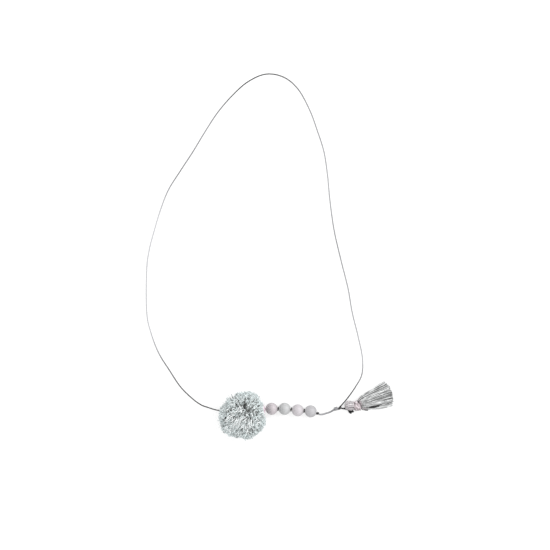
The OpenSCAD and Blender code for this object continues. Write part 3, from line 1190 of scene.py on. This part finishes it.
    def plied(self, lines: np.ndarray, rng: np.random.Generator) -> np.ndarray:
        """Plies for each strand, wound round each other and coming apart at the cut end.

        Args:
            lines: Lines of the strands.
            rng: Source of how each is turned.

        Returns:
            Lines of the plies: the first ply of every strand, then the second, and so on.
        """
        count, points, _ = lines.shape
        t = np.linspace(0.0, 1.0, points)
        ahead = unit(np.gradient(lines, axis=1))
        side = unit(np.cross(ahead, unit(rng.normal(0.0, 1.0, (count, 1, 3)))))
        up = np.cross(ahead, side)
        made = []
        for i in range(self.plies):
            turn = rng.normal(i * TURN / self.plies, 0.3, (count, 1)) + self.ply_turn * t
            opening = rng.uniform(0.0, self.ply_opening, (count, 1)) * t**8
            apart = (self.ply_apart + opening)[..., None]
            made.append(lines + apart * (np.cos(turn)[..., None] * side + np.sin(turn)[..., None] * up))
        return np.concatenate(made)

    def tints(
        self, lines: np.ndarray, deep: np.ndarray, layer: int, rng: np.random.Generator
    ) -> np.ndarray:
        """Tints of the strands: dark, middling and pale in turn, mixed most strongly on top, as
        painted shade and painted highlight; lighter near the middle of the top as painted light.

        Args:
            lines: Lines of the strands.
            deep: How much shorter each is for the hollows.
            layer: Number of the layer, from 0, which shifts the turns.
            rng: Source of the random part.

        Returns:
            One tint for each strand, from 0 to 1.
        """
        seen = np.linalg.norm((lines[:, -1] - self.centre)[:, :2], axis=1) / self.radius
        turn = (np.arange(self.strands) + layer) % 3
        tints = (turn + rng.random(self.strands)) / 1.5 - 1
        even, spread, shift = (
            np.interp(seen, *table) for table in (self.tint_even, self.tint_spread, self.painted_light_shift)
        )
        # painted light: dark and pale turns stand in for shade and highlight between the strands, and the
        # shift lightens the middle of the top and darkens the rim
        tints = self.tint + spread * np.sign(tints) * np.abs(tints) ** even + shift
        # painted shade: strands that sink into the hollows are tinted darker
        start, stop = self.hollow_depths
        tints *= 1 - self.hollow_painted_shade * np.clip((deep - start) / (stop - start), 0.0, 1.0)
        return np.clip(tints, *self.tint_range)

    def yarn(self, layer: int, name: str, rng: np.random.Generator) -> bpy.types.Object:
        """Make one layer of plied strands.

        Args:
            layer: Its number, from 0.
            name: Name of the piece.
            rng: Source of lengths, widths and tints.

        Returns:
            The piece, still bare.
        """
        extra = -np.abs(rng.normal(0.0, self.cut_uneven, self.strands)) + self.cut_proud
        longer = np.minimum(rng.gamma(1.5, 0.6, self.strands), self.longest)
        extra += longer * (rng.random(self.strands) < self.longer_share)
        lines, deep = self.strand_lines(self.strands, extra, self.seed + 10 * layer)
        widths = np.tile(rng.uniform(*self.ply_radius, (self.strands, 1)) * self.taper, (self.plies, 1))
        tints = np.tile(self.tints(lines, deep, layer, rng), self.plies)
        tubes = Tubes()
        plies = self.plied(lines, rng)
        tubes.add(plies, widths, Section.HAIR, tints + rng.normal(0.0, 0.006, len(tints)))
        return tubes.piece(name)

    def loose_hairs(self, rng: np.random.Generator) -> bpy.types.Object:
        """Make the fine hairs all over, and the single strands that stand out of the outline.

        Args:
            rng: Source of their lengths and tints.

        Returns:
            The piece, still bare.
        """
        taper = np.array(self.taper)
        extra = np.minimum(rng.gamma(1.6, 0.6, self.hairs), self.hair_longest)
        lines, _ = self.strand_lines(self.hairs, extra, self.seed + 1)
        tubes = Tubes()
        tubes.add(lines, self.hair_radius * taper, Section.HAIR, rng.uniform(0.06, 1.0, self.hairs))
        t = np.linspace(0.0, 1.0, len(taper))[:, None]
        made = []
        for x0, y0, x1, y1, _ in self.strays:
            base, tip = np.array([x0, y0, 3.0]), np.array([x1, y1, 1.0])
            made.append(0.45 * base * (1 - t) ** 2 + 2 * base * t * (1 - t) + tip * t**2)
        tints = np.array(self.strays)[:, 4]
        tubes.add(np.array(made) + np.array(self.centre), self.stray_radius * taper, Section.HAIR, tints)
        return tubes.piece("pompom_hairs")

    def middle(self) -> bpy.types.Object:
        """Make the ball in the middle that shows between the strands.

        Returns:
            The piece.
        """
        deselect()
        bpy.ops.mesh.primitive_ico_sphere_add(subdivisions=5, radius=self.core * MM)
        roughen(self.core_uneven, 0.4, 0.6, self.seed)
        core = settle(bpy.context.object, "pompom_middle", self.centre, None, 60.0)
        # painted shade: the middle is far darker than the yarn, for the shade deep inside the ball
        carry(core, ShadedPackFinish("packed_yarn_painted_shade", (0.10, 0.103, 0.098)).material(), "mint_yarn")
        return core

    def build(self) -> list[bpy.types.Object]:
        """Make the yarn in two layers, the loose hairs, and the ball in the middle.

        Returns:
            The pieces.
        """
        # painted shade: the roots are darker than the flanks and tips, deep in the ball; the pale colour is
        # painted highlight on the pale strands
        root, flank, tip = (0.68, 0.69, 0.67), (0.88, 0.905, 0.885), (0.86, 0.95, 0.955)
        finish = StrandFinish(
            "mint_grey_yarn", ((0.0, root), (0.3, root), (0.6, flank), (1.0, tip)), (0.96, 0.99, 0.99),
            pale_share=0.37, dark=0.2, gloss=0.27, sheen=0.15, shine=0.9,
        )  # fmt: skip
        material = finish.material()
        made = []
        for layer, name in enumerate(self.layers):
            rng = np.random.default_rng(self.seed + layer)
            made.append(self.yarn(layer, name, rng))
            carry(made[-1], material, "mint_yarn", *(["pompom"] if layer == 0 else []))
        made.append(self.loose_hairs(rng))
        carry(made[-1], material, "mint_yarn")
        return [*made, self.middle()]


@dataclass
class LoopKnot:
    """The knot that closes the loop, and the dark cord that carries the tassel."""

    heading: float = 12.0
    pitch: float = 2.4
    big: Point = (24.3, 1.2, 1.6)
    small: Point = (27.1, 1.4, 1.1)
    # columns: radius of the turns, pitch, number of turns, radius of the cord, place on the greys
    coils: Table = ((1.05, 0.98, 3.2, 0.53, 0.2), (0.62, 0.86, 2.2, 0.46, 0.8))
    # the cord inside the two coils: how far it reaches past them, and its radius
    link_ends: tuple[float, float] = (1.9, 0.9)
    link_radius: float = 0.48
    # where the neck cord comes in
    joint_route: Route = ((28.5, 3.5, 0.9), (28.0, 2.8, 1.2), (27.5, 2.1, 1.4), (27.1, 1.2, 1.1))
    joint_radius: float = 0.72
    greys: Table = ((0.0, 0.29), (0.35, 0.33), (0.7, 0.06), (1.0, 0.012))
    head_route: Route = (
        (26.4, 1.3, 1.1), (28.4, 1.8, 1.1), (29.6, 1.4, 0.9), (30.9, 1.4, 1.3), (32, 2, 2.1),
        (33.4, 2.9, 3), (34.5, 3.6, 3.6),
    )  # fmt: skip
    under_route: Route = (
        (28.6, 1.7, 0.9), (29.6, 1.4, 0.7), (31.8, 1, 0.64), (33.6, 0.6, 0.64), (34.9, -0.3, 0.9),
        (36, -1.3, 1.4), (38.3, -1.4, 1.4),
    )  # fmt: skip
    dark_radius: float = 0.6
    dark_greys: Table = ((0.0, 0.014), (1.0, 0.02))
    tail_knots: Route = ((35.8, -1.2, 1.5), (38.1, -0.9, 1.5), (36.7, -1.7, 1.4))
    tail_knot_size: float = 0.95
    tail_knot_turn: float = 1.1
    tail_knot_cord: float = 0.42

    def knot(self) -> bpy.types.Object:
        """Tie the knot that closes the loop.

        Returns:
            The piece.
        """
        along, _ = headed(self.heading)
        big, small = np.array(self.big), np.array(self.small)
        twist = TURN / self.pitch
        tubes = Tubes()
        for centre, (radius, pitch, turns, cord, grey) in zip((big, small), self.coils):
            line = coil_line(centre, along, radius, pitch, turns)
            tubes.add(line, cord, Section.CORD, 0.5, twist, runs=grey)
        before, past = self.link_ends
        link = evened(np.array([big - before * along, big, small, small + past * along]), 0.4)
        greys = np.linspace(0.1, 0.9, len(link))[None]
        tubes.add(link, self.link_radius, Section.CORD, 0.5, twist, runs=greys)
        tubes.add(laid(self.joint_route, 8, 0.3), self.joint_radius, Section.CORD, 0.5, twist, runs=1.0)
        piece = tubes.piece("loop_knot_tied")
        carry(piece, CordFinish("knot_cord", self.greys).material(), "grey_cord", "loop_knot")
        return piece

    def dark_cord(self) -> bpy.types.Object:
        """Lay the tassel's cord and its tail, and tie the two-lobed knot.

        Returns:
            The piece.
        """
        twist = TURN / self.pitch
        tubes = Tubes()
        for route in (self.head_route, self.under_route):
            tubes.add(laid(route, 10, 0.35), self.dark_radius, Section.CORD, 0.5, twist)
        for i, at in enumerate(self.tail_knots):
            line = overhand_line(at, self.tail_knot_size, self.tail_knot_turn * i)
            tubes.add(line, self.tail_knot_cord, Section.FINE_CORD, 0.5, twist, closed=True)
        piece = tubes.piece("tassel_cord_dark")
        carry(piece, CordFinish("dark_cord_spun", self.dark_greys).material(), "dark_cord", "tassel_cord")
        return piece

    def build(self) -> list[bpy.types.Object]:
        """Make the knot and the tassel's cord."""
        return [self.knot(), self.dark_cord()]


@dataclass
class Tassel:
    """Thread-covered head, bound neck and fanned skirt."""

    seed: int = 5
    heading: float = 11.0
    head_at: Point = (35.6, 4.3, 4.35)
    head_r: float = 4.35
    head_cover: float = 0.5
    head_uneven: float = 0.08
    head_threads: int = 190
    head_thread: float = 0.17
    # how deep the threads lie below the head's radius, and how much that varies
    head_depth: tuple[float, float] = (0.18, 0.12)
    # angles from the top of the head, in degrees, where its threads start and stop
    head_span: tuple[float, float] = (4.0, 120.0)
    # where the threads start to leave the ball for the neck, and over how long a stretch
    head_leave: tuple[float, float] = (0.62, 0.32)
    neck_r: float = 3.35
    binding_at: Point = (41.6, 4.0, 4.5)
    binding_l: float = 5.6
    binding_r: tuple[float, float] = (3.9, 4.5)
    binding_core: float = 3.4
    binding_flare: float = 1.18
    binding_tilt: float = 11.0
    # columns: start and end along the neck, turns, height over the rest, radius of the thread
    windings: Table = (
        (-2.7, 2.65, 21.0, 0.0, 0.16), (2.6, -2.6, 12.5, 0.14, 0.14), (-0.6, 2.2, 5.0, 0.2, 0.13),
    )  # fmt: skip
    # size of the patches of one tone, along the neck and, in radians, round it
    patch: tuple[float, float] = (0.75, 0.42)
    # how far the stray turns start along the neck and lie from its axis, and their radius: the
    # pale one, then the dark one, whose ends lie nearer to the axis by the last number; the dark
    # one is a near-black line of painted shadow where the skirt meets the binding
    pale_turn: tuple[float, float, float] = (0.45, 4.5, 0.22)
    shadow_line_turn: tuple[float, float, float, float] = (1.0, 4.8, 0.3, 0.5)
    flare_at: Point = (49.0, 7.4, 4.1)
    flare_heading: float = 20.0
    flare_size: tuple[float, float] = (6.4, 3.8)
    # how far the roots of the locks spread at the neck: above its axis as seen, below it, and
    # towards the table and away from it
    neck_spread: tuple[float, float, float] = (4.1, 2.4, 3.5)
    fan_end: Route = (
        (0, 71.6, 7.5), (0.3, 71.4, 11.5), (0.6, 70.2, 16.6), (0.85, 67.9, 21.2), (1, 64.6, 24.1),
    )  # fmt: skip
    # height of the lowest cut ends, how much higher the highest are, and how uneven the cut is
    end_rise: tuple[float, float] = (0.75, 4.4)
    end_uneven: float = 0.35
    # columns: height in the fan, number of locks, light on those below the fan's upper part,
    # which makes the lower rows darker as painted shade
    rows: tuple[tuple[float, int, float], ...] = (
        (-0.92, 20, 0.5), (-0.45, 26, 0.5), (0.05, 28, 0.6), (0.5, 26, 0.9), (0.92, 19, 0.88),
    )  # fmt: skip
    lock_threads: int = 4
    # tones of a bright and of a dark lock, painted highlight and painted shade in turn, and how much they
    # vary
    lock_tones: tuple[float, float] = (0.86, 0.12)
    lock_vary: float = 0.06
    # how much the tone varies along a lock, as random painted highlight and shade for its crinkles, and
    # from thread to thread of one lock
    painted_light_along: float = 0.19
    thread_vary: float = 0.2
    # painted shadow of the binding over the first third of each lock
    root_painted_shade: float = 0.4
    tint_range: tuple[float, float] = (0.051, 0.99)
    # how far the threads swing to the sides, and how much shorter some are
    thread_wave: float = 0.22
    thread_short: float = 0.025
    skirt_thread: tuple[float, float] = (0.18, 0.26)
    skirt_rest: float = 0.3
    # columns: route, number of threads, half the width, tone; the pale tones stand in for glints on the
    # lower edge, as painted highlight
    loose: tuple[tuple[Route, int, float, float], ...] = (
        (
            ((45.4, 2.4, 2.2), (48.0, 1.2, 1.9), (53.3, 1.0, 1.4), (61.5, 1.6, 1.1), (71.6, 3.9, 1.1)),
            9, 0.5, 0.55,
        ),
        (
            ((45.6, 2.6, 2.6), (48.0, 1.9, 2.4), (54.0, 1.5, 1.7), (62.0, 2.7, 1.4), (71.8, 5.0, 1.3)),
            8, 0.5, 0.95,
        ),
        (
            ((45.8, 2.8, 2.8), (48.5, 2.5, 2.8), (54.5, 1.7, 1.8), (62.5, 3.6, 1.5), (71.7, 6.2, 1.5)),
            8, 0.5, 0.4,
        ),
    )  # fmt: skip
    # columns: route, number of threads, half the width; near-black threads laid in the gaps of the skirt as
    # painted shadow
    shaded: tuple[tuple[Route, int, float], ...] = (
        (
            ((45.5, 3.1, 4.2), (49.0, 3.2, 3.3), (53.6, 3.3, 2.9), (58.5, 4.2, 2.6), (66.8, 6.5, 2.3)),
            8, 0.4,
        ),
        (((51.8, 2.6, 2.6), (54.0, 2.8, 2.6), (57.5, 3.3, 2.5), (60.5, 4.3, 2.3)), 11, 0.75),
        (((44.9, 1.8, 2.0), (46.7, 0.5, 1.5), (51.2, 0.1, 1.3)), 4, 0.3),
    )  # fmt: skip

    def place(self, origin: Point | np.ndarray, s: np.ndarray, y: np.ndarray, z: np.ndarray) -> np.ndarray:
        """Points given along, across and above a place on the tassel's axis."""
        along, across = headed(self.heading)
        return np.asarray(origin, float) + s[..., None] * along + y[..., None] * across + z[..., None] * UP

    def head_lines(self, rng: np.random.Generator) -> np.ndarray:
        """Lines of the threads that cover the head, from its top to the neck.

        Args:
            rng: Source of their places.

        Returns:
            The lines.
        """
        along, across = headed(self.heading)
        neck = np.array(self.binding_at) - along * (self.binding_l / 2 - 0.1) + 0.7 * across
        count = self.head_threads
        phi = (np.arange(count) + rng.uniform(-0.6, 0.6, count)) * TURN / count
        t = np.linspace(0.0, 1.0, 14)
        first, last = self.head_span
        psi = np.radians(first + (last - first) * t)
        start, stretch = self.head_leave
        leave = np.clip((t - start) / stretch, 0.0, 1.0)
        leave = (leave * leave * (3 - 2 * leave))[:, None]
        depth, vary = self.head_depth
        lines = []
        for angle in phi:
            turn = angle + rng.normal(0.0, 0.16) * (psi - 0.9) + rng.normal(0.0, 0.05) * np.sin(4 * psi)
            r = self.head_r - depth - abs(rng.normal(0.0, vary))
            level = r * np.sin(psi)
            ball = self.place(self.head_at, -r * np.cos(psi), level * np.cos(turn), level * np.sin(turn))
            straight = self.place(
                neck, 4.6 * (t - 0.9), self.neck_r * np.cos(turn), self.neck_r * np.sin(turn)
            )
            lines.append(ball * (1 - leave) + straight * leave)
        return np.array(lines)

    def head(self) -> list[bpy.types.Object]:
        """Make the head's core and cover it with thread.

        Returns:
            The two pieces.
        """
        rng = np.random.default_rng(self.seed)
        deselect()
        radius = (self.head_r - self.head_cover) * MM
        bpy.ops.mesh.primitive_uv_sphere_add(segments=32, ring_count=20, radius=radius)
        roughen(self.head_uneven, 0.5, 0.5, 3)
        core = settle(bpy.context.object, "tassel_head_core", self.head_at, None, 60.0)
        tubes = Tubes()
        lines = self.head_lines(rng)
        tubes.add(lines, self.head_thread, Section.THREAD, rng.random(self.head_threads))
        wrap = tubes.piece("tassel_head_threads")
        # painted shade: the core is far darker than its threads, for the shade below them
        carry(core, ShadedPackFinish("packed_mauve_thread_painted_shade", (0.12, 0.11, 0.115)).material(), "mauve_thread")
        finish = StrandFinish(
            "mauve_thread_cover", ((0.0, (0.34, 0.31, 0.325)), (1.0, (0.42, 0.38, 0.40))),
            (0.72, 0.695, 0.705), dark=0.17,
        )  # fmt: skip
        carry(wrap, finish.material(), "mauve_thread", "tassel_head")
        return [core, wrap]

    def stray_turn(self, start: float, radius: float, sink: float = 0.0) -> np.ndarray:
        """Line of a thread that lies over the top of the binding.

        Args:
            start: Where it starts along the neck.
            radius: How far it is from the neck's axis.
            sink: How much nearer to it the two ends are.

        Returns:
            The points of the line.
        """
        a = np.linspace(0.3, 1.25, 12)
        r = radius - sink * np.abs(2 * (a - a[0]) / (a[-1] - a[0]) - 1) ** 4
        return self.place(self.binding_at, start + 1.1 * (a - a[0]), r * np.cos(a), r * np.sin(a))

    def wind(self, tubes: Tubes) -> None:
        """Wind the neck with thread, with a few stray turns over the rest.

        Args:
            tubes: Where it goes.
        """
        rng = np.random.default_rng(self.seed + 1)
        tones = rng.beta(0.5, 0.5, (8, 16))
        slope = math.tan(math.radians(self.binding_tilt))
        half = self.binding_l / 2
        edge = half - 0.22
        long, wide = self.patch
        for layer, (first, last, turns, lift, width) in enumerate(self.windings):
            a = np.linspace(0.0, turns * TURN, round(turns * 40)) + layer * 2.0
            s = first + (last - first) * np.linspace(0.0, 1.0, len(a))
            wave = 0.10 * np.sin(a * 0.37 + layer) + 0.05 * np.sin(a * 1.7)
            free = np.clip((2.85 - np.abs(s)) / 0.5 + 0.15, 0.0, 1.0)
            s = np.clip(s + wave - slope * self.binding_r[0] * np.cos(a) * free, -edge, edge)
            r = np.interp(s, [-half, half], self.binding_r) - 0.2 + lift + 0.03 * rng.normal(size=len(a))
            line = self.place(self.binding_at, s, r * np.cos(a), r * np.sin(a))
            # the tone changes in patches along and round the neck, with soft edges
            tone = tones[((s + half) / long).astype(int), (a % TURN / wide).astype(int)]
            tone = np.clip(np.convolve(np.pad(tone, 1, "edge"), [0.25, 0.5, 0.25], "valid"), 0.06, 0.97)
            tubes.add(line, width, Section.THREAD, tone[None], runs=0.5)
        start, radius, thread = self.pale_turn
        tubes.add(self.stray_turn(start, radius), thread, Section.THREAD, 0.84)

    def binding(self) -> list[bpy.types.Object]:
        """Make the binding's turns and the core that they lie on.

        Returns:
            The two pieces.
        """
        tubes = Tubes()
        self.wind(tubes)
        wound = tubes.piece("tassel_binding_turns")
        along, _ = headed(self.heading)
        deselect()
        radius, depth = self.binding_core * MM, (self.binding_l - 0.3) * MM
        bpy.ops.mesh.primitive_cylinder_add(vertices=40, radius=radius, depth=depth)
        core = bpy.context.object
        bpy.ops.object.mode_set(mode="EDIT")
        bpy.ops.mesh.select_all(action="DESELECT")
        made = bmesh.from_edit_mesh(core.data)
        for face in made.faces:
            face.select = face.normal.z > 0.9
        bmesh.update_edit_mesh(core.data)
        bpy.ops.transform.resize(value=(self.binding_flare, self.binding_flare, 1.0))
        bpy.ops.mesh.select_all(action="SELECT")
        bpy.ops.mesh.bevel(offset=0.3 * MM, segments=3, affect="EDGES")
        bpy.ops.object.mode_set(mode="OBJECT")
        core = settle(core, "tassel_binding_core", self.binding_at, along, 60.0)
        # painted shade: the core is darker than the binding's thread, for the shade below its turns
        carry(core, ShadedPackFinish("packed_pink_thread_painted_shade", (0.30, 0.25, 0.27)).material(), "pink_thread")
        finish = StrandFinish(
            "pink_binding_thread", ((0.0, (0.50, 0.42, 0.445)), (1.0, (0.68, 0.59, 0.615))),
            (0.76, 0.69, 0.715), dark=0.3,
        )  # fmt: skip
        carry(wound, finish.material(), "pink_thread", "tassel_binding")
        return [core, wound]

    def lock_route(self, share: float, height: float, rng: np.random.Generator) -> np.ndarray:
        """Middle line of one lock of the skirt.

        Args:
            share: Its place across the fan, from 0 at the lower edge to 1.
            height: Its height in the fan, from -1 at the table to 1.
            rng: Source of its waves.

        Returns:
            Points of the line.
        """
        _, across = headed(self.flare_heading)
        y = 2 * share - 1
        turn = math.atan2(height, y)
        out = min(1.0, math.hypot(y, height))
        upper, lower, high = self.neck_spread
        wide = upper if y > 0 else lower
        neck = self.place(
            self.binding_at, np.array(self.binding_l / 2 - 0.3 - 0.9 * max(y, 0.0)),
            np.array(wide * out * math.cos(turn)), np.array(high * out * math.sin(turn)),
        )  # fmt: skip
        half_w, half_h = self.flare_size
        room = math.sqrt(max(0.0, 1 - height * height * 0.72))
        wide = (half_w if y > 0 else half_w - 2.0) * room
        flare = np.array(self.flare_at) + across * y * wide + height * (half_h - 0.6) * UP
        fan = np.array(self.fan_end)
        place = 0.5 + (share - 0.5) * (1.0 - 0.28 * max(0.0, height))
        end_x, end_y = np.interp(place, fan[:, 0], fan[:, 1]), np.interp(place, fan[:, 0], fan[:, 2])
        lowest, rise = self.end_rise
        end = np.array([end_x, end_y, lowest + rise * (height + 1) / 2])
        end[:2] += rng.normal(0.0, self.end_uneven, 2)
        early = (neck + flare) / 2 + across * 0.7 * max(y, 0.0) + 0.3 * height * UP
        points = np.array([neck, early, flare, (2 * flare + end) / 3, (flare + 2 * end) / 3, end])
        path = smooth_route(points, 2)
        t = np.linspace(0.0, 1.0, len(path))[:, None]
        sway = np.sin(t * rng.uniform(7.0, 12.0) + rng.uniform(0.0, 6.3)) * rng.uniform(0.08, 0.24) * t
        return path + sway * across + 0.4 * sway * UP

    def lock(
        self,
        tubes: Tubes,
        path: np.ndarray,
        count: int,
        width: float,
        rng: np.random.Generator,
        tone: float,
        end_painted_shade: float = 0.0,
    ) -> None:
        """Lay the threads of one lock along its line.

        Args:
            tubes: Where they go.
            path: The middle line of the lock.
            count: Number of threads.
            width: Half the lock's width at its end.
            rng: Source of their places.
            tone: Tint that they share.
            end_painted_shade: How much darker they are at their cut ends, as painted shade.
        """
        k = len(path)
        t = np.linspace(0.0, 1.0, k)
        ahead = unit(np.gradient(path, axis=0))
        side = unit(np.cross(UP, ahead))
        up = np.cross(ahead, side)
        r = width * np.sqrt(rng.random((count, 1))) * (0.45 + 0.55 * t)
        a = rng.random((count, 1)) * TURN + rng.normal(1.0, 0.8) * t + rng.normal(0.0, 0.3, (count, 1)) * t
        stop = 1.0 - np.abs(rng.normal(0.0, self.thread_short, (count, 1)))
        at = np.clip(t[None] * stop, 0.0, 1.0) * (k - 1)
        base = np.stack([np.interp(at, np.arange(k), path[:, c]) for c in range(3)], axis=-1)
        lines = base + (r * np.cos(a))[..., None] * side + (r * np.sin(a))[..., None] * up
        wave = np.sin(rng.uniform(9.0, 16.0, (count, 1)) * t + rng.uniform(0.0, 6.3, (count, 1)))
        lines += (self.thread_wave * wave * np.clip(4 * t, 0.0, 1.0))[..., None] * side
        lines[..., 2] = np.maximum(lines[..., 2], self.skirt_rest)
        # painted light along each lock: random highlight and shade, with painted shade at the cut ends and
        # by the binding
        painted_light_along = rng.normal(0.0, self.painted_light_along, k) - end_painted_shade * np.clip((t - 0.88) / 0.06, 0.0, 1.0)
        # painted shadow of the binding: darker over the first third, beside it
        painted_light_along -= self.root_painted_shade * np.clip(1.0 - 3.0 * t, 0.0, 1.0)
        vary = rng.normal(0.0, self.thread_vary, (count, 1))
        tint = np.clip(tone + painted_light_along + vary, *self.tint_range)
        tubes.add(lines, rng.uniform(*self.skirt_thread, (count, 1)), Section.THREAD, tint)

    def locks(self, tubes: Tubes, rng: np.random.Generator) -> None:
        """Lay the locks of the fan, bright and dark in turn as painted highlight and painted shade, and the
        loose bundle below them.

        Args:
            tubes: Where they go.
            rng: Source of their places and tones.
        """
        # painted highlight and painted shade, laid on alternate locks
        bright_tone, dark_tone = self.lock_tones
        for height, count, light in self.rows:
            for i in range(count):
                share = min(max((i + rng.uniform(-0.2, 0.2)) / (count - 1), 0.0), 1.0)
                upper = min(max(share - 0.6, 0.0) / 0.3, 1.0)
                # painted shade: the lower rows and the fan's lower part are darker
                light_here = (light + (1 - light) * upper) * (0.94 + 0.06 * share)
                # in the lower half about a third of the locks take the painted highlight or the painted
                # shade by chance
                pick = 0.0 if share > 0.5 else rng.random()
                bright = i % 2 if pick < 0.65 else pick > 0.82
                tone = rng.normal((bright_tone if bright else dark_tone) * light_here, self.lock_vary)
                route = self.lock_route(share, height, rng)
                # painted shade: the cut ends of the locks in the fan's lower part are darker
                width, end_painted_shade = rng.uniform(0.16, 0.32), 0.35 if share < 0.6 else 0.0
                self.lock(tubes, route, self.lock_threads, width, rng, tone, end_painted_shade)
        for route, count, width, tone in self.loose:
            self.lock(tubes, laid(route, 6, 3.0), count, width, rng, tone)

    def skirt(self) -> list[bpy.types.Object]:
        """Fan out the threads of the skirt, and lay near-black threads between them as painted shadow.

        Returns:
            The two pieces.
        """
        rng = np.random.default_rng(self.seed + 2)
        tubes = Tubes()
        self.locks(tubes, rng)
        piece = tubes.piece("tassel_skirt_threads")
        # the pale colour is painted highlight: the palest threads stand in for glints
        start, flank, tip = (0.48, 0.41, 0.435), (0.40, 0.405, 0.405), (0.50, 0.51, 0.51)
        finish = StrandFinish(
            "grey_skirt_thread", ((0.0, start), (0.1, start), (0.2, flank), (0.5, flank), (1.0, tip)),
            (0.70, 0.71, 0.71), pale_share=0.2, dark=0.2,
        )  # fmt: skip
        carry(piece, finish.material(), "grey_thread", "tassel_skirt")
        tubes = Tubes()
        for route, count, width in self.shaded:
            self.lock(tubes, laid(route, 6, 2.0), count, width, rng, 0.5)
        # painted shadow: a near-black turn over the top of the binding, by the skirt
        first, radius, thread, sink = self.shadow_line_turn
        tubes.add(self.stray_turn(first, radius, sink), thread, Section.THREAD, 0.5)
        shaded = tubes.piece("tassel_shaded_threads")
        # painted shadow: near-black with little shine, in the gaps of the skirt and over the binding
        black = (0.03, 0.03, 0.032)
        finish = StrandFinish(
            "shaded_thread", ((0.0, black), (1.0, black)), (0.05, 0.05, 0.052),
            gloss=0.6, sheen=0.0, shine=0.2,
        )  # fmt: skip
        carry(shaded, finish.material(), "grey_thread")
        return [piece, shaded]

    def build(self) -> list[bpy.types.Object]:
        """Make the tassel's pieces."""
        return [*self.head(), *self.binding(), *self.skirt()]


@dataclass
class Studio:
    """Pale floor, soft light, and the camera straight above, as in the photo."""

    camera_at: Point = (-26.25, 112.4, 1081.0)
    lens: float = 85.0
    sensor: float = 36.0
    # nearest and farthest that the camera sees, and the floor's size, in metres
    clip: tuple[float, float] = (0.01, 20.0)
    floor_size: float = 6.0
    floor: Colour = (0.36, 0.36, 0.36)
    floor_glow: float = 0.6
    sky: float = 1.2
    # columns: name, place and size in metres, power in watts
    lights: tuple[tuple[str, Point, float, float], ...] = (
        ("key_light", (0.62, 0.42, 0.85), 0.5, 6.5),
        ("fill_light", (-0.7, -0.1, 0.9), 0.9, 2.0),
    )
    aim: Point = (-0.02, 0.05, 0.0)

    def build(self) -> None:
        """Lay the floor, hang the lights and set up the camera."""
        scene = bpy.context.scene
        camera = bpy.data.objects.new("photo_camera", bpy.data.cameras.new("photo_camera"))
        camera.location = Vector(self.camera_at) * MM
        camera.data.lens = self.lens
        camera.data.sensor_width = self.sensor
        camera.data.clip_start, camera.data.clip_end = self.clip
        scene.collection.objects.link(camera)
        scene.camera = camera
        deselect()
        bpy.ops.mesh.primitive_plane_add(size=self.floor_size)
        floor = bpy.context.object
        floor.name = "floor"
        floor.data.materials.append(FloorFinish("pale_floor", self.floor, self.floor_glow).material())
        for name, at, size, power in self.lights:
            light = bpy.data.objects.new(name, bpy.data.lights.new(name, "AREA"))
            light.data.size = size
            light.data.energy = power
            light.location = at
            light.rotation_euler = (Vector(self.aim) - Vector(at)).to_track_quat("-Z", "Y").to_euler()
            scene.collection.objects.link(light)
        world = bpy.data.worlds.new("soft_sky")
        world.use_nodes = True
        sky = world.node_tree.nodes["Background"]
        sky.inputs["Color"].default_value = (1.0, 1.0, 1.0, 1.0)
        sky.inputs["Strength"].default_value = self.sky
        scene.world = world
        scene.view_settings.view_transform = "Standard"


def main() -> None:
    """Build the studio, then the necklace piece by piece."""
    logging.basicConfig(level=logging.INFO, format="%(name)s: %(message)s")
    Studio().build()
    for part in (NeckCord(), BeadRow(), Pompom(), LoopKnot(), Tassel()):
        made = part.build()
        log.info("%s has %d pieces", type(part).__name__, len(made))
    bpy.context.view_layer.update()


if __name__ == "__main__":
    main()
